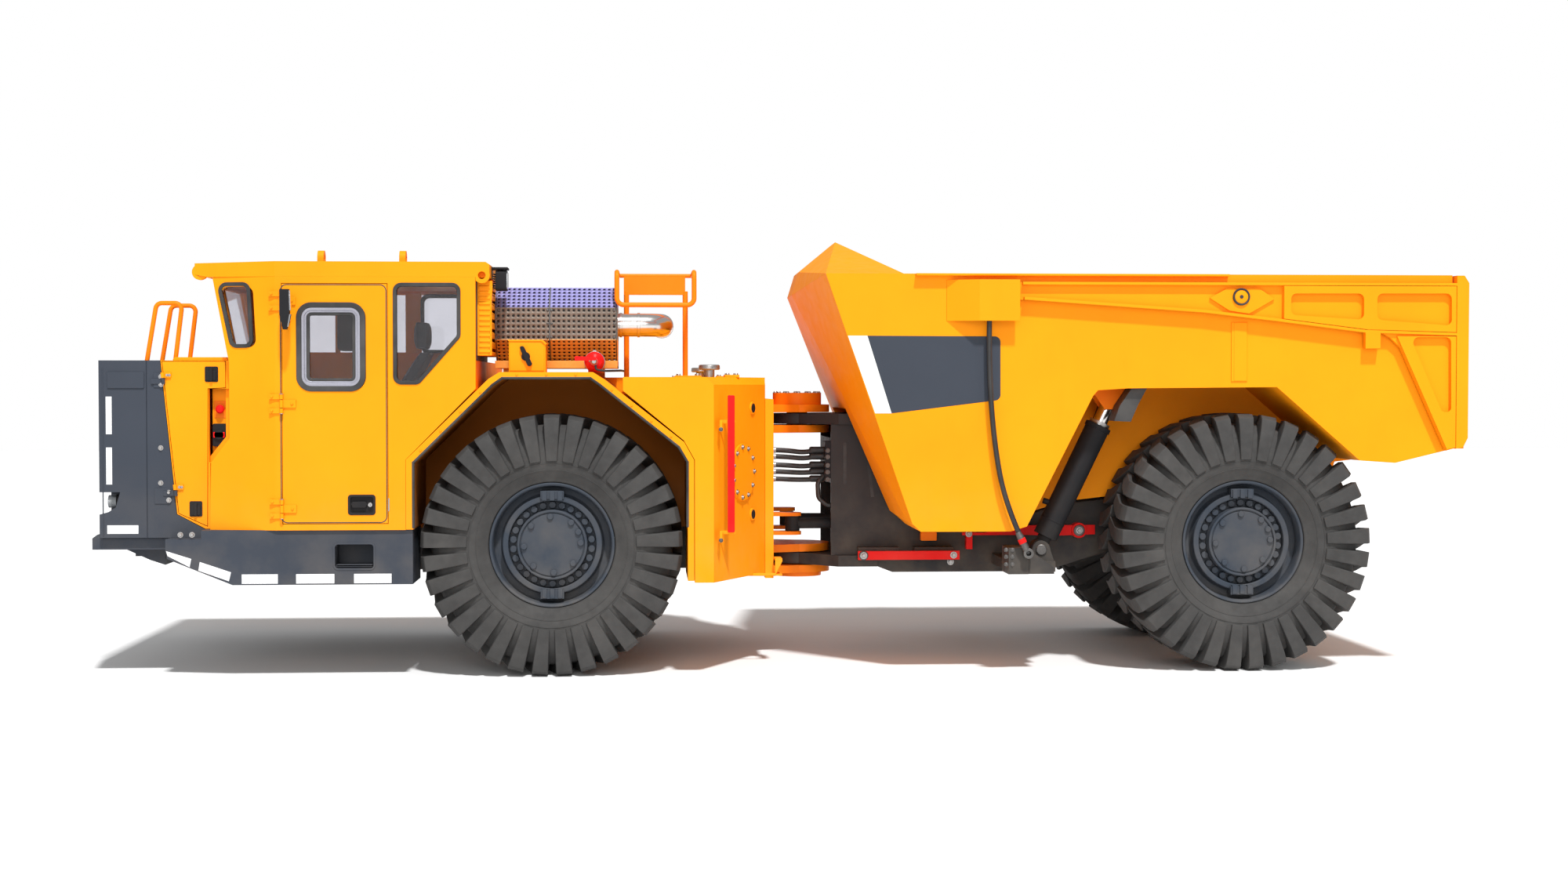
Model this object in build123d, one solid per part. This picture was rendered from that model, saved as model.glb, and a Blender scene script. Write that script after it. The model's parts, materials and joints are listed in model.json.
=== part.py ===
"""Articulated underground dump truck, one STEP file for each of its pieces.

Millimetres. The truck faces -X, its left side is -Y and Z is up. X = 0 is half way along its
overall length, Y = 0 is its centre line and Z = 0 is the ground. Left and right pieces are
mirror images about the X-Z plane unless a comment says otherwise.
"""
from build123d import *
from math import cos, pi, sin
import os

# ------------------------------------------------------------------ driving sizes
FRONT_AXLE_X = -1823
WHEELBASE = 5560
REAR_AXLE_X = FRONT_AXLE_X + WHEELBASE
PIVOT_X = 230               # vertical articulation pin
TYRE_R = 1040               # 35/65 R33 tyre
TYRE_W = 880
TRACK_HALF = 1220           # centre line to wheel centre
RIM_R = 495
BODY_HALF = 1700            # half width over cab, tanks and dump body
PLATE = 40                  # folded sheet panels with their stiffening
GAP = 5                     # between a door or lid and its opening
FIT = 2                     # between a pin or rod and its bore, on the radius
SLIP = 10                   # between hinge plates that turn past each other

# levels above the ground
SILL_BOTTOM = 745
SILL_TOP = 1172
DECK_Z = 2500               # engine hood and service cabinet
BODY_TOP_Z = 2370           # side tanks and transmission cover
FENDER_TOP_Z = 2408
ROOF_LOW = 3150
ROOF_TOP = 3270
RIM_Z = 3190                # dump body side rim

# lengthwise places
NOSE_X = -5360              # face of the front shell
BUMPER_X = -5500
CAB_REAR_X = -2410
TANK_REAR_X = -545          # where the side tank's chamfer starts
BULKHEAD = (-90, -20)       # end plate of the front frame
BULKHEAD_HALF = 800
FRONT_HALF = 1500           # half width of the front shell
HOOD_LEFT = -400            # left side of the engine hood, next to the cab
CAB_RIGHT = -420
CAB_WALL = 60
CHASSIS_Y = (400, 460)      # front frame's side plates
COVER_HALF = TRACK_HALF - TYRE_W / 2 - 35     # transmission cover between the front wheels

# rear frame
TOWER_Y = (520, 560)        # rear frame's side plates
TOWER_FRONT = 480
LUG_REAR = 870
UPPER_LUG = (1975, 2065)
LOWER_LUG = (775, 870)
LUG_R = 230
FORK_R = 280
FORK_T = 65
PIN_R = 90

# dump body
BED_WALL = 40
BED_REAR = REAR_AXLE_X + 1663
TROUGH_HALF = TRACK_HALF - TYRE_W / 2 - 45    # body between the rear wheels
BED_PIVOT = (REAR_AXLE_X + 963, 1500)   # X and Z of the tipping hinge
BED_PIN_R = 60
GATE_PIVOT = (REAR_AXLE_X - 77, 3010)
ARM_Y = (BODY_HALF + 13, BODY_HALF + 33)    # tailgate arm webs, outside the dump body
ARM_FLANGE = BODY_HALF + 75
GATE_PIN_R = 55
CABLE_Y = BODY_HALF + 65
CABLE_R = 21
CABLE_FOOT = (REAR_AXLE_X - 1787, 970)
CABLE_TOP = (REAR_AXLE_X - 2097, 3060)
GUARD_Y = BODY_HALF + 115   # outer face of the boxes over the arms' front ends

# hoist and steering cylinders: lower pin, upper pin (X, Z) and distance from the centre line
HOIST_FOOT = (REAR_AXLE_X - 1617, 970)
HOIST_HEAD = (REAR_AXLE_X - 1037, 2170)
HOIST_Y = TRACK_HALF + 80
HOIST_R = 100
EAR_GAP = 70                # half the gap between a cylinder's pin ears
EAR_T = 30
HOIST_STEPS = 0.78          # each stage's radius as a share of the one round it
STEER_EYE = (165, 380)      # X and distance from the centre line, at the front frame
STEER_BASE = (1100, 300)    # the same, at the rear frame
STEER_Z = 1130
STEER_R = 75
STEER_BORE = (90, 602)      # bottom and mouth of the tube, from its pin
STEER_PISTON = 335          # the rod's inner end, which keeps inside the bore at full lock

# axles and wheels
SPINDLE_R = 150
SPINDLE_END = TRACK_HALF + 90
HOUSING_R = 200             # axle housing where the frame's side plates hold it
LUGS = 33                   # tread lugs on each side of a tyre
LUG_ROOT = 940              # bottom of the grooves at the middle of the tread
WALL_ROOT = 700             # the same at the tyre's sides
GROOVE = (20, 36)           # half width of a groove at its inner end and at the tread

# cab and front end
TOW_R = 35
GRILLE = ((-1000, 1000), (1240, 2360))        # opening in the front shell, Y and Z
GLASS_T = 10
HINGE_OUT = 20              # hinge pins stand this far outside their panel
LEAF_T = 12
BARREL_R = 14
DOOR_HINGES = (1340, 2160, 2960)
HATCH_HINGES = (1480, 2360)
SEAM_X = -4990              # joint between the nose box and its side plates
RAIL_Y = (-1400, -860)      # grab hoops either side of the access


# ------------------------------------------------------------------ ways of making shapes
def block(x, y, z):
    """A box between low and high X, Y and Z."""
    size = [high - low for low, high in (x, y, z)]
    middle = [(high + low) / 2 for low, high in (x, y, z)]
    return Pos(*middle) * Box(*size)


def outline(points, inset=0, rounds=0):
    """A flat face inside straight runs, moved inwards by inset, its corners rounded."""
    face = make_face(Polyline(*points, close=True))
    if inset:
        face = offset(face, amount=-inset, kind=Kind.INTERSECTION)
    if rounds:
        face = fillet(face.vertices(), rounds)
    return face


def side(face, y):
    """An outline in X and Z, extruded between two Y planes."""
    return extrude(Plane.XZ.offset(-y[1]) * face, amount=y[1] - y[0])


def plan(face, z):
    """An outline in X and Y, extruded between two levels."""
    return extrude(Plane.XY.offset(z[0]) * face, amount=z[1] - z[0])


def across(face, x):
    """An outline in Y and Z, extruded between two X planes."""
    return extrude(Plane.YZ.offset(x[0]) * face, amount=x[1] - x[0])


def rod(start, end, radius):
    """A round bar between two points."""
    run = Vector(*end) - Vector(*start)
    foot = Plane(origin=start, z_dir=run)
    return foot * Cylinder(radius, run.length, align=(Align.CENTER, Align.CENTER, Align.MIN))


def turned(points, x=0, z=0, y=0):
    """A body turned about an axis along Y, from (radius, y) points."""
    return Pos(x, y, z) * revolve(make_face(Polyline(*points, close=True)), axis=Axis.Y)


def bent_tube(points, radius, bend):
    """A round tube along straight runs joined by arcs."""
    path = FilletPolyline(*points, radius=bend)
    start = Plane(origin=path @ 0, z_dir=path % 0)
    return sweep(start * Circle(radius), path=path)


def faceted(corners, faces):
    """A solid with flat faces, each a string of corner names."""
    flats = [Face(Wire.make_polygon([corners[name] for name in face.split()], close=True)) for face in faces]
    return Part() + Solid(Shell(flats))


def flip(part):
    """The same piece on the other side of the truck."""
    return mirror(part, about=Plane.XZ)


def both(part):
    return part + flip(part)


def slab(half):
    """A Y range that is symmetric about the centre line."""
    return (-half, half)


def aft(*points):
    """Outline points given by their distance behind the rear axle."""
    return [(REAR_AXLE_X + x, z) for x, z in points]


# ------------------------------------------------------------------ outlines that pieces share
SHELL = [(NOSE_X, 1105), (NOSE_X, DECK_Z), (-4885, DECK_Z), (-4763, 1290), (-4545, SILL_TOP), (-4545, 1105)]
HATCH = [(-4873, DECK_Z - GAP), (-4375, DECK_Z - GAP), (-4375, 2282), (-4512, 2275), (-4522, 1190),
         (-4750, 1295)]
HATCH_Y = (-FRONT_HALF, -FRONT_HALF + PLATE)
ARCH = [(-2900, 1175), (-2900, 1700), (-2280, 2310), (-2205, 2363), (-1515, 2363), (-1440, 2310),
        (-820, 1820), (-750, 1700), (-750, 760)]
CAB = [(-4460, ROOF_LOW), (-4330, 2480), (-4330, 1890), (-4480, 1700), (-4490, SILL_TOP),
       (-2957, SILL_TOP), (-2957, 1722), (CAB_REAR_X, 2277), (CAB_REAR_X, ROOF_LOW)]
ROOF_PLAN = [(-4620, -BODY_HALF + 145), (-3960, -BODY_HALF), (-2290, -BODY_HALF), (-2290, CAB_RIGHT),
             (-4620, CAB_RIGHT)]
CAB_PLAN = [(-4600, -BODY_HALF + 150), (-3960, -BODY_HALF), (-2200, -BODY_HALF), (-2200, CAB_RIGHT),
            (-4600, CAB_RIGHT)]
DOOR = [(-3910, 1220), (-3910, 3100), (-3090, 3100), (-3090, 1220)]
DOOR_WINDOW = [(-3785, 2260), (-3785, 2940), (-3260, 2940), (-3260, 2260)]
CORNER_WINDOW = [(-4405, 3075), (-4135, 3075), (-4110, 2600), (-4290, 2600)]
WINDOW_ROUND = 60
DOOR_WINDOW_ROUND = 110
REAR_WINDOW = [(-3030, 3085), (-2545, 3085), (-2545, 2690), (-2860, 2330), (-3030, 2330)]
TANK = [(-1260, BODY_TOP_Z), (-1260, 2262), (-780, 1868), (-695, 1715), (-695, SILL_BOTTOM),
        (BULKHEAD[0], SILL_BOTTOM), (BULKHEAD[0], BODY_TOP_Z)]
BED_UPPER = [(0, RIM_Z), (0, 2000), (1035, 1200), (1100, 1140)] + aft(
    (-1917, 1140), (-1787, 1180), (-1257, 2220), (-1217, 2265), (-977, 2280), (233, 2290), (913, 1700),
    (1203, 1680)) + [(BED_REAR, 1790), (BED_REAR, RIM_Z)]
WHEEL_ARCH = aft((-1787, 1180), (-1257, 2220), (-1217, 2265), (-977, 2280), (233, 2290), (913, 1700),
                 (1203, 1680), (1203, 1000), (-1787, 1000))
BED_TROUGH = aft((-2237, 2300), (-2237, 1140), (-1917, 1140), (-1297, 1330), (-897, 1375), (913, 1645),
                 (1203, 1680), (1203, 2300))
NOTCH = [(-100, 1000), (1245, 1000), (1245, 1130), (915, 1985), (915, 2110), (-100, 2110)]
NOTCH_HALF = 640


ARM = aft((-2167, 3124), (1675, 3124), (1675, 2703), (929, 2726), (195, 2818), (-384, 2884), (-1825, 2983),
          (-2167, 2990))
ARM_STRIP = aft((-1825, 2983), (-384, 2884), (195, 2818), (929, 2726), (1675, 2703), (1675, 2725),
                (931, 2748), (198, 2840), (-382, 2906), (-1825, 3005))
ARM_FRAME = aft((262, 3102), (1675, 3102), (1675, 1800), (1600, 1779), (1224, 2606), (1138, 2685),
                (1052, 2735), (931, 2748), (262, 2832))
ARM_POCKETS = [aft((323, 3036), (915, 3038), (916, 2829), (324, 2866)),
               aft((1025, 3038), (1632, 3040), (1634, 2782), (1026, 2829)),
               aft((1297, 2690), (1629, 2691), (1634, 2088), (1560, 2088))]
WING = aft((1052, 2735), (1138, 2685), (1224, 2606), (1600, 1779), (1675, 1800), (1675, 2735))
DIAMOND = aft((-329, 2999), (-195, 3075), (72, 3076), (194, 2993), (-12, 2875), (-170, 2899))
GATE_END = aft((1675, 3184), (1736, 3184), (1774, 3124), (1771, 1883), (1735, 1810), (1675, 1795))
LOCK = ((693, HOIST_FOOT[0] - 572), (843, 916))    # articulation lock bar, X and Z
LOCK_Y = (-TOWER_Y[1] - 190, -TOWER_Y[1] - 140)


def nose_x(z):
    """The middle of the dump body's front wall leans forwards as it rises."""
    return 165 + (3075 - z) * 0.436


def wing_x(z):
    """The front edge of the dump body's side."""
    return 340 + (RIM_Z - z) * 0.348


# ------------------------------------------------------------------ front frame
def axle(x):
    """Axle housing with its differential bowl, brake flanges and wheel spindles."""
    inner, outer = CHASSIS_Y[0] - 20, TOWER_Y[1] + 20
    half = [(0, 0), (360, 0), (360, 150), (250, 330), (HOUSING_R, inner), (HOUSING_R, outer), (180, 735),
            (230, 735), (230, 770), (SPINDLE_R, 770), (SPINDLE_R, SPINDLE_END), (0, SPINDLE_END)]
    return both(turned(half, x, TYRE_R))


def front_chassis():
    """Two side plates on cross members, with outriggers to the sills."""
    plate = outline([(-4820, 900), (-4820, 1105), (-4540, 1105), (-4540, 1165), (-2700, 1165), (-2300, 1480),
                     (BULKHEAD[0], 1480), (BULKHEAD[0], 700), (-500, 700), (-600, 760), (-4300, 760)])
    body = both(side(plate, CHASSIS_Y))
    for x in (-4800, -3700, -2700, -1150, -350):
        body += block((x, x + 140), slab(CHASSIS_Y[0]), (820, 1100))
    for x in (-4300, -3300):
        body += both(block((x, x + 140), (CHASSIS_Y[1], 1100), (880, 1000)))
    body += both(block((-2280, BULKHEAD[0]), (CHASSIS_Y[1], COVER_HALF - PLATE), (1300, 1340)))
    return body - rod((FRONT_AXLE_X, -500, TYRE_R), (FRONT_AXLE_X, 500, TYRE_R), HOUSING_R)


def front_bumper():
    """Full-width step that bulges forwards in the middle, with a skid plate and a tow eye below."""
    step = plan(outline([(BUMPER_X, -1000), (BUMPER_X, 1000), (-5430, 1450), (-4820, 1450), (-4820, -1450),
                         (-5430, -1450)]), (1010, 1100))
    skid = side(outline([(-5300, 1010), (-4940, 1010), (-4940, 860), (-5060, 900)]), slab(1100))
    eye = side(outline([(-5420, 1010), (-5420, 850), (-5300, 850), (-5240, 1010)]), slab(40))
    hole = rod((-5350, -50, 930), (-5350, 50, 930), TOW_R)
    return step + skid + eye - hole


def front_shell():
    """Folded box round the radiator, open behind, with the grille opening and lamp pockets."""
    inner = outline(SHELL, inset=PLATE)
    body = side(outline(SHELL), slab(FRONT_HALF))
    body -= side(inner, slab(FRONT_HALF - PLATE))
    body -= block((-4900, -4500), slab(FRONT_HALF - PLATE), (1200, DECK_Z - PLATE))
    body -= block((-4950, -4500), (HOOD_LEFT, FRONT_HALF - PLATE), (1105, 1300))
    body -= block((NOSE_X - 1, NOSE_X + PLATE + 1), *GRILLE)
    pocket = outline([(NOSE_X - 1, 1465), (-5200, 1465), (-5235, 1345), (-5290, 1310), (NOSE_X - 1, 1290)])
    body -= both(side(pocket, (1120, FRONT_HALF + 1)))
    cell = outline([(NOSE_X, 1485), (-5180, 1485), (-5215, 1330), (-5280, 1290), (NOSE_X, 1268)])
    liner = side(cell, (1100, FRONT_HALF - PLATE)) - side(pocket, (1120, FRONT_HALF + 1))
    body += both(liner)
    body -= both(block((SEAM_X - 4, SEAM_X + 4), (FRONT_HALF - 8, FRONT_HALF + 1), (1000, DECK_Z + 1)))
    for z in HATCH_HINGES:
        x = hatch_edge(z)
        body += block((x - 95, x), (-FRONT_HALF - LEAF_T, -FRONT_HALF), (z - 45, z - 3))
        body += hatch_barrel(z - 45, z - 3)
    return body


def radiator_grille():
    """Frame and level slats that fill the opening in the front shell."""
    (left, right), (low, high) = GRILLE
    ring = outline([(left + 2, low + 2), (right - 2, low + 2), (right - 2, high - 2), (left + 2, high - 2)])
    hole = outline([(left + 2, low + 2), (right - 2, low + 2), (right - 2, high - 2), (left + 2, high - 2)],
                   inset=45)
    body = across(ring - hole, (NOSE_X, NOSE_X + PLATE))
    slats = 13
    pitch = (high - low - 90) / slats
    for row in range(slats):
        z = low + 45 + (row + 0.5) * pitch
        blade = outline([(NOSE_X + 4, z - 28), (NOSE_X + 12, z - 30), (NOSE_X + 36, z + 26),
                         (NOSE_X + 28, z + 28)])
        body += side(blade, (left + 47, right - 47))
    for y in (-480, 0, 480):
        body += block((NOSE_X + 24, NOSE_X + PLATE), (y - 15, y + 15), (low + 47, high - 47))
    return body


def headlamps():
    """A round lamp in each corner pocket and a pair beside it."""
    lamp = None
    for y in (1210, 1330):
        cup = turned([(0, 0), (32, 0), (50, 45), (50, 70), (0, 70)])
        cup = Pos(-5255, y, 1385) * Rot(0, 0, 90) * cup
        lamp = cup if lamp is None else lamp + cup
    return both(lamp)


def engine_block():
    """The engine and its gearbox as plain blocks."""
    return block((-4600, -3050), (-260, 620), (1165, 2250)) + block((-3050, -2500), (-250, 380), (1100, 1650))


def engine_hood():
    """Hood over the engine, and the service cabinet in front of the cab, under one deck."""
    low = 1175
    right = [(-4881, DECK_Z), (-4759, 1292), (-4540, low), (-2957, low), (-2957, 1722), (CAB_REAR_X, 2277),
             (CAB_REAR_X, DECK_Z)]
    body = side(outline(right), (HOOD_LEFT, FRONT_HALF))
    body -= side(outline(right, inset=PLATE), (HOOD_LEFT + PLATE, FRONT_HALF - PLATE))
    body -= block((-4870, -3050), (HOOD_LEFT + PLATE, FRONT_HALF - PLATE), (low - 1, 1500))
    body -= block((-3050, -2900), (HOOD_LEFT + PLATE, 700), (low - 1, 1700))
    left = [(-4881, DECK_Z), (-4759, 1292), (-4540, low), (-4500, low), (-4500, 1690), (-4345, 1885),
            (-4345, DECK_Z)]
    cabinet = side(outline(left), (-FRONT_HALF, HOOD_LEFT))
    room = outline(left, inset=PLATE)
    cabinet -= side(room, (-FRONT_HALF + PLATE, HOOD_LEFT - PLATE))
    cabinet -= side(outline(HATCH), (-FRONT_HALF - 1, -FRONT_HALF + PLATE + 1))
    cabinet -= block((-4508, -4339), (-FRONT_HALF - 1, -FRONT_HALF + PLATE + 1), (1700, 2277))
    back = block((-4500, -4360), (-FRONT_HALF + 100, -FRONT_HALF + 110), (1720, 2277))
    cabinet += back - side(outline(CAB, inset=-15), (-1500, -1300))
    body += cabinet
    louvres = 9
    for row in range(louvres):
        z = 1640 + row * 80
        body -= block((-4300, -3500), (FRONT_HALF - PLATE - 1, FRONT_HALF + 1), (z, z + 36))
    return body


def hatch_edge(z):
    """X of the cabinet door's slanted hinge line at a level."""
    (top_x, top), (low_x, low) = HATCH[0], HATCH[-1]
    return top_x + (low_x - top_x) * (top - z) / (top - low)


def hatch_barrel(low, high):
    y = -FRONT_HALF - HINGE_OUT
    return rod((hatch_edge(low), y, low), (hatch_edge(high), y, high), BARREL_R)


def service_hatch():
    """Cabinet door, hung on its slanted front edge."""
    body = side(outline(HATCH, inset=GAP), HATCH_Y)
    for z in HATCH_HINGES:
        x = hatch_edge(z)
        body += block((x + GAP, x + 60), (-FRONT_HALF - LEAF_T, -FRONT_HALF), (z + 3, z + 45))
        body += hatch_barrel(z + 3, z + 45)
    return body


def side_sills():
    """Box beams along both sides below the cab and the hood, with a step pocket."""
    beam = outline([(-4800, 950), (-4300, SILL_BOTTOM), (-2905, SILL_BOTTOM), (-2905, SILL_TOP),
                    (-4540, SILL_TOP), (-4540, 1105), (-4815, 1105), (-4815, 1010)])
    body = side(beam, (1100, BODY_HALF - 20))
    pocket = outline([(-3510, 870), (-3510, 1060), (-3210, 1060), (-3210, 870)], rounds=30)
    body -= side(pocket, (1440, BODY_HALF))
    return both(body)


def front_fenders():
    """Bands over the front wheels."""
    outer = [(-2955, 1175), (-2955, 1722), (-2311, 2355), (-2225, FENDER_TOP_Z), (-1495, FENDER_TOP_Z),
             (-1406, 2350), (-778, 1856), (-700, 1714), (-700, 760)]
    band = side(outline(outer + ARCH[::-1]), (COVER_HALF, BODY_HALF))
    return both(band)


def transmission_cover():
    """Cover between the front wheels, carrying fenders, tanks and silencer."""
    body = block((-2280, BULKHEAD[0]), slab(COVER_HALF), (1300, BODY_TOP_Z))
    body -= block((-2281, BULKHEAD[0] + 1), slab(COVER_HALF - PLATE), (1299, BODY_TOP_Z - PLATE))
    bulkhead = block(BULKHEAD, slab(BULKHEAD_HALF), (700, 2190))
    for y in (-560, 560):
        for z in (1120, 1980):
            bulkhead -= rod((BULKHEAD[0] - 1, y, z), (BULKHEAD[1] + 1, y, z), 60)
    return body + bulkhead


def side_tanks():
    """Tanks behind the front wheels, chamfered so that the dump body clears them in a turn."""
    foot = [(-1300, COVER_HALF), (-1300, BODY_HALF), (TANK_REAR_X, BODY_HALF), (BULKHEAD[0], 790),
            (BULKHEAD[0], COVER_HALF)]
    tank = side(outline(TANK), (COVER_HALF, BODY_HALF)) & plan(outline(foot), (700, 2400))
    top = tank.faces().sort_by(Axis.Z)[-1]
    slant = [e for e in top.edges() if abs((e @ 0).X - (e @ 1).X) > 1 and abs((e @ 0).Y - (e @ 1).Y) > 1]
    tank = chamfer(slant, 60)
    return both(tank)


def fork_plate(radius, z):
    """One plate of a hinge fork, from the bulkhead to round the pin."""
    root = 1.35 * radius
    arm = outline([(BULKHEAD[1], -root), (BULKHEAD[1], root), (PIVOT_X, radius), (PIVOT_X, -radius)])
    end = rod((PIVOT_X, 0, z[0]), (PIVOT_X, 0, z[1]), radius)
    return plan(arm, z) + (end - block((BULKHEAD[0] - radius, BULKHEAD[1]), slab(radius), z))


def hinge_forks():
    """Orange forks and pins of the articulation, with the steering cylinder clevises."""
    upper_top = UPPER_LUG[1] + SLIP
    upper_low = UPPER_LUG[0] - SLIP
    lower_top = LOWER_LUG[1] + SLIP
    lower_low = LOWER_LUG[0] - SLIP
    body = fork_plate(FORK_R, (upper_top, upper_top + FORK_T))
    body += fork_plate(FORK_R, (upper_low - FORK_T, upper_low))
    body += fork_plate(FORK_R, (lower_top, lower_top + FORK_T))
    body += fork_plate(FORK_R, (lower_low - FORK_T, lower_low))
    body += rod((PIVOT_X, 0, upper_low - 60), (PIVOT_X, 0, upper_top + 60), PIN_R)
    body += rod((PIVOT_X, 0, lower_low - 60), (PIVOT_X, 0, lower_top + 60), PIN_R)
    body += rod((PIVOT_X, 0, upper_top + FORK_T), (PIVOT_X, 0, upper_top + FORK_T + 100), 210)
    body += rod((PIVOT_X, 0, lower_low - FORK_T - 40), (PIVOT_X, 0, lower_low - FORK_T), 210)
    x, y = STEER_EYE
    for low in (STEER_Z - 95, STEER_Z + 65):
        jaw = block((BULKHEAD[1], x), (y - 75, y + 75), (low, low + 30))
        jaw += Pos(x, y, low + 15) * Cylinder(75, 30)
        body += both(jaw)
    return body


def cab_shell():
    """Hollow cab left of the engine, with its door opening and windows cut."""
    levels = (SILL_TOP, ROOF_LOW)
    body = side(outline(CAB), (-BODY_HALF, CAB_RIGHT)) & plan(outline(CAB_PLAN), levels)
    room = side(outline(CAB, inset=CAB_WALL), (-BODY_HALF, CAB_RIGHT))
    body -= room & plan(outline(CAB_PLAN, inset=CAB_WALL), levels)
    near = (-BODY_HALF - 1, -BODY_HALF + CAB_WALL + 1)
    body -= side(outline(DOOR), near) + side(outline(REAR_WINDOW, rounds=WINDOW_ROUND), near)
    body -= side(outline(CORNER_WINDOW, rounds=WINDOW_ROUND), (near[0], near[1] + 120))
    for z in DOOR_HINGES:
        for low in (z - 75, z + 35):
            body += block((DOOR[0][0] - 95, DOOR[0][0]), (-BODY_HALF - LEAF_T, -BODY_HALF), (low, low + 40))
            body += door_barrel(low, low + 40)
    body -= block((-4600, -4250), (-1470, -560), (2560, 3060))
    body -= block((-2480, -2400), (-1560, -560), (2520, 3050))
    body -= side(outline([(-4250, 2580), (-4330, 3060), (-2560, 3060), (-2560, 2580)]),
                 (CAB_RIGHT - CAB_WALL - 1, CAB_RIGHT + 1))
    return body


def door_barrel(low, high):
    x, y = DOOR[0][0], -BODY_HALF - HINGE_OUT
    return rod((x, y, low), (x, y, high), BARREL_R)


def cab_roof():
    """Thick roof plate over the cab, with two lifting eyes and a lug at each end of its left edge."""
    edge = outline([(-4600, ROOF_LOW + 20), (-4600, ROOF_TOP - 12), (-3960, ROOF_TOP), (-2330, ROOF_TOP),
                    (-2300, ROOF_TOP - 20), (-2300, ROOF_LOW), (-4500, ROOF_LOW)])
    body = side(edge, (-BODY_HALF, CAB_RIGHT))
    body = body & plan(outline(ROOF_PLAN), (ROOF_LOW, ROOF_TOP))
    for x, z, y in ((-4560, 3190, -BODY_HALF + 141), (-2360, 3165, -BODY_HALF)):
        lug = rod((x, y, z), (x, y + PLATE, z), 62)
        lug += block((x - 60, x + 60), (y, y + PLATE), (z, ROOF_LOW + 50))
        body += lug - block((CAB_REAR_X - 100, CAB_REAR_X + 2), (y - 1, y + PLATE + 1), (3000, ROOF_LOW))
        body -= rod((x, y - 1, z), (x, y + PLATE + 30, z), 30)
    y, z = -1500, ROOF_TOP + 35
    for x in (-3627, -2990):
        ear = block((x - 25, x + 25), (y - 60, y + 60), (ROOF_TOP, z))
        ear += rod((x - 25, y, z), (x + 25, y, z), 60)
        body += ear - rod((x - 26, y, z), (x + 26, y, z), 26)
    return body


def cab_glass():
    """Fixed panes, each in the middle of its wall."""
    y = -BODY_HALF + CAB_WALL / 2
    pane = outline(CAB_PLAN, inset=CAB_WALL / 2) - outline(CAB_PLAN, inset=CAB_WALL / 2 + GLASS_T)
    glass = side(outline(CORNER_WINDOW, inset=1, rounds=WINDOW_ROUND - 1), (-BODY_HALF, -BODY_HALF + 220))
    glass = glass & plan(pane, (2500, ROOF_LOW))
    glass += side(outline(REAR_WINDOW, inset=1, rounds=WINDOW_ROUND - 1), (y, y + GLASS_T))
    y = CAB_RIGHT - CAB_WALL / 2
    far = outline([(-4250, 2580), (-4330, 3060), (-2560, 3060), (-2560, 2580)], inset=1)
    glass += side(far, (y, y + GLASS_T))
    glass += block((-2445, -2435), (-1559, -561), (2521, 3049))
    screen = side(outline([(-4406, 3059), (-4310, 2561), (-4320, 2561), (-4416, 3059)]), (-1469, -561))
    return glass + screen


def cab_door():
    """Door in the left wall with its window cut, handle and outside mirror."""
    y = (-BODY_HALF, -BODY_HALF + CAB_WALL)
    body = side(outline(DOOR, inset=GAP), y)
    body -= side(outline(DOOR_WINDOW, rounds=DOOR_WINDOW_ROUND), (y[0] - 1, y[1] + 1))
    handle = outline([(-3395, 1300), (-3395, 1440), (-3200, 1440), (-3200, 1300)], rounds=15)
    body -= side(handle, (y[0] - 1, y[0] + 25))
    for z in DOOR_HINGES:
        body += block((DOOR[0][0] + GAP, DOOR[0][0] + 110), (y[0] - LEAF_T, y[0]), (z - 30, z + 30))
        body += door_barrel(z - 30, z + 30)
    face = outline([(-3893, 3045), (-3823, 3045), (-3818, 2860), (-3838, 2735), (-3868, 2735), (-3893, 2850)])
    body += side(face, (y[0] - 190, y[0] - 140))
    for z in (2800, 2990):
        body += rod((-3850, y[0] - 145, z), (-3850, y[0], z), 12)
    return body


def door_glass():
    y = -BODY_HALF + CAB_WALL / 2
    return side(outline(DOOR_WINDOW, inset=1, rounds=DOOR_WINDOW_ROUND - 1), (y, y + GLASS_T))


def cab_seat():
    """Seat cushion, backrest and pedestal on the cab floor."""
    floor = SILL_TOP + CAB_WALL
    body = block((-3650, -3150), (-1260, -800), (floor + 420, floor + 540))
    body += block((-3250, -3120), (-1240, -820), (floor + 540, floor + 1180))
    return body + block((-3560, -3240), (-1180, -880), (floor, floor + 420))


def cab_console():
    """Dashboard with the steering wheel's column and a lever stand."""
    floor = SILL_TOP + CAB_WALL
    desk = side(outline([(-4260, floor), (-4260, floor + 840), (-4180, floor + 900), (-4050, floor + 760),
                         (-4100, floor)]), (-BODY_HALF + 230, -620))
    column = rod((-4080, -1030, floor + 700), (-3850, -1030, floor + 860), 22)
    wheel = Pos(-3850, -1030, floor + 860) * Rot(0, -55, 0) * Torus(190, 16)
    spoke = rod((-3850, -1215, floor + 860), (-3850, -845, floor + 860), 14)
    return desk + column + wheel + spoke


def cab_louvre():
    """Vented box on the back of the cab."""
    body = block((CAB_REAR_X, CAB_REAR_X + 120), (-1600, -520), (2540, 3110))
    for row in range(7):
        z = 2565 + row * 75
        body -= block((CAB_REAR_X + 60, CAB_REAR_X + 121), (-1560, -560), (z, z + 40))
    return body


def deck_rails():
    """Two grab hoops that lean back above the front shell."""
    x, foot, top = -5012, DECK_Z - 30, 2953
    hoop = None
    for y in RAIL_Y:
        bar = bent_tube([(x, y, foot), (x + 82, y, top), (x + 282, y, top), (x + 222, y, foot)], 18, 50)
        bar -= block((x - 100, x + 400), (y - 50, y + 50), (foot - 50, DECK_Z))
        hoop = bar if hoop is None else hoop + bar
    return hoop


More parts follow.
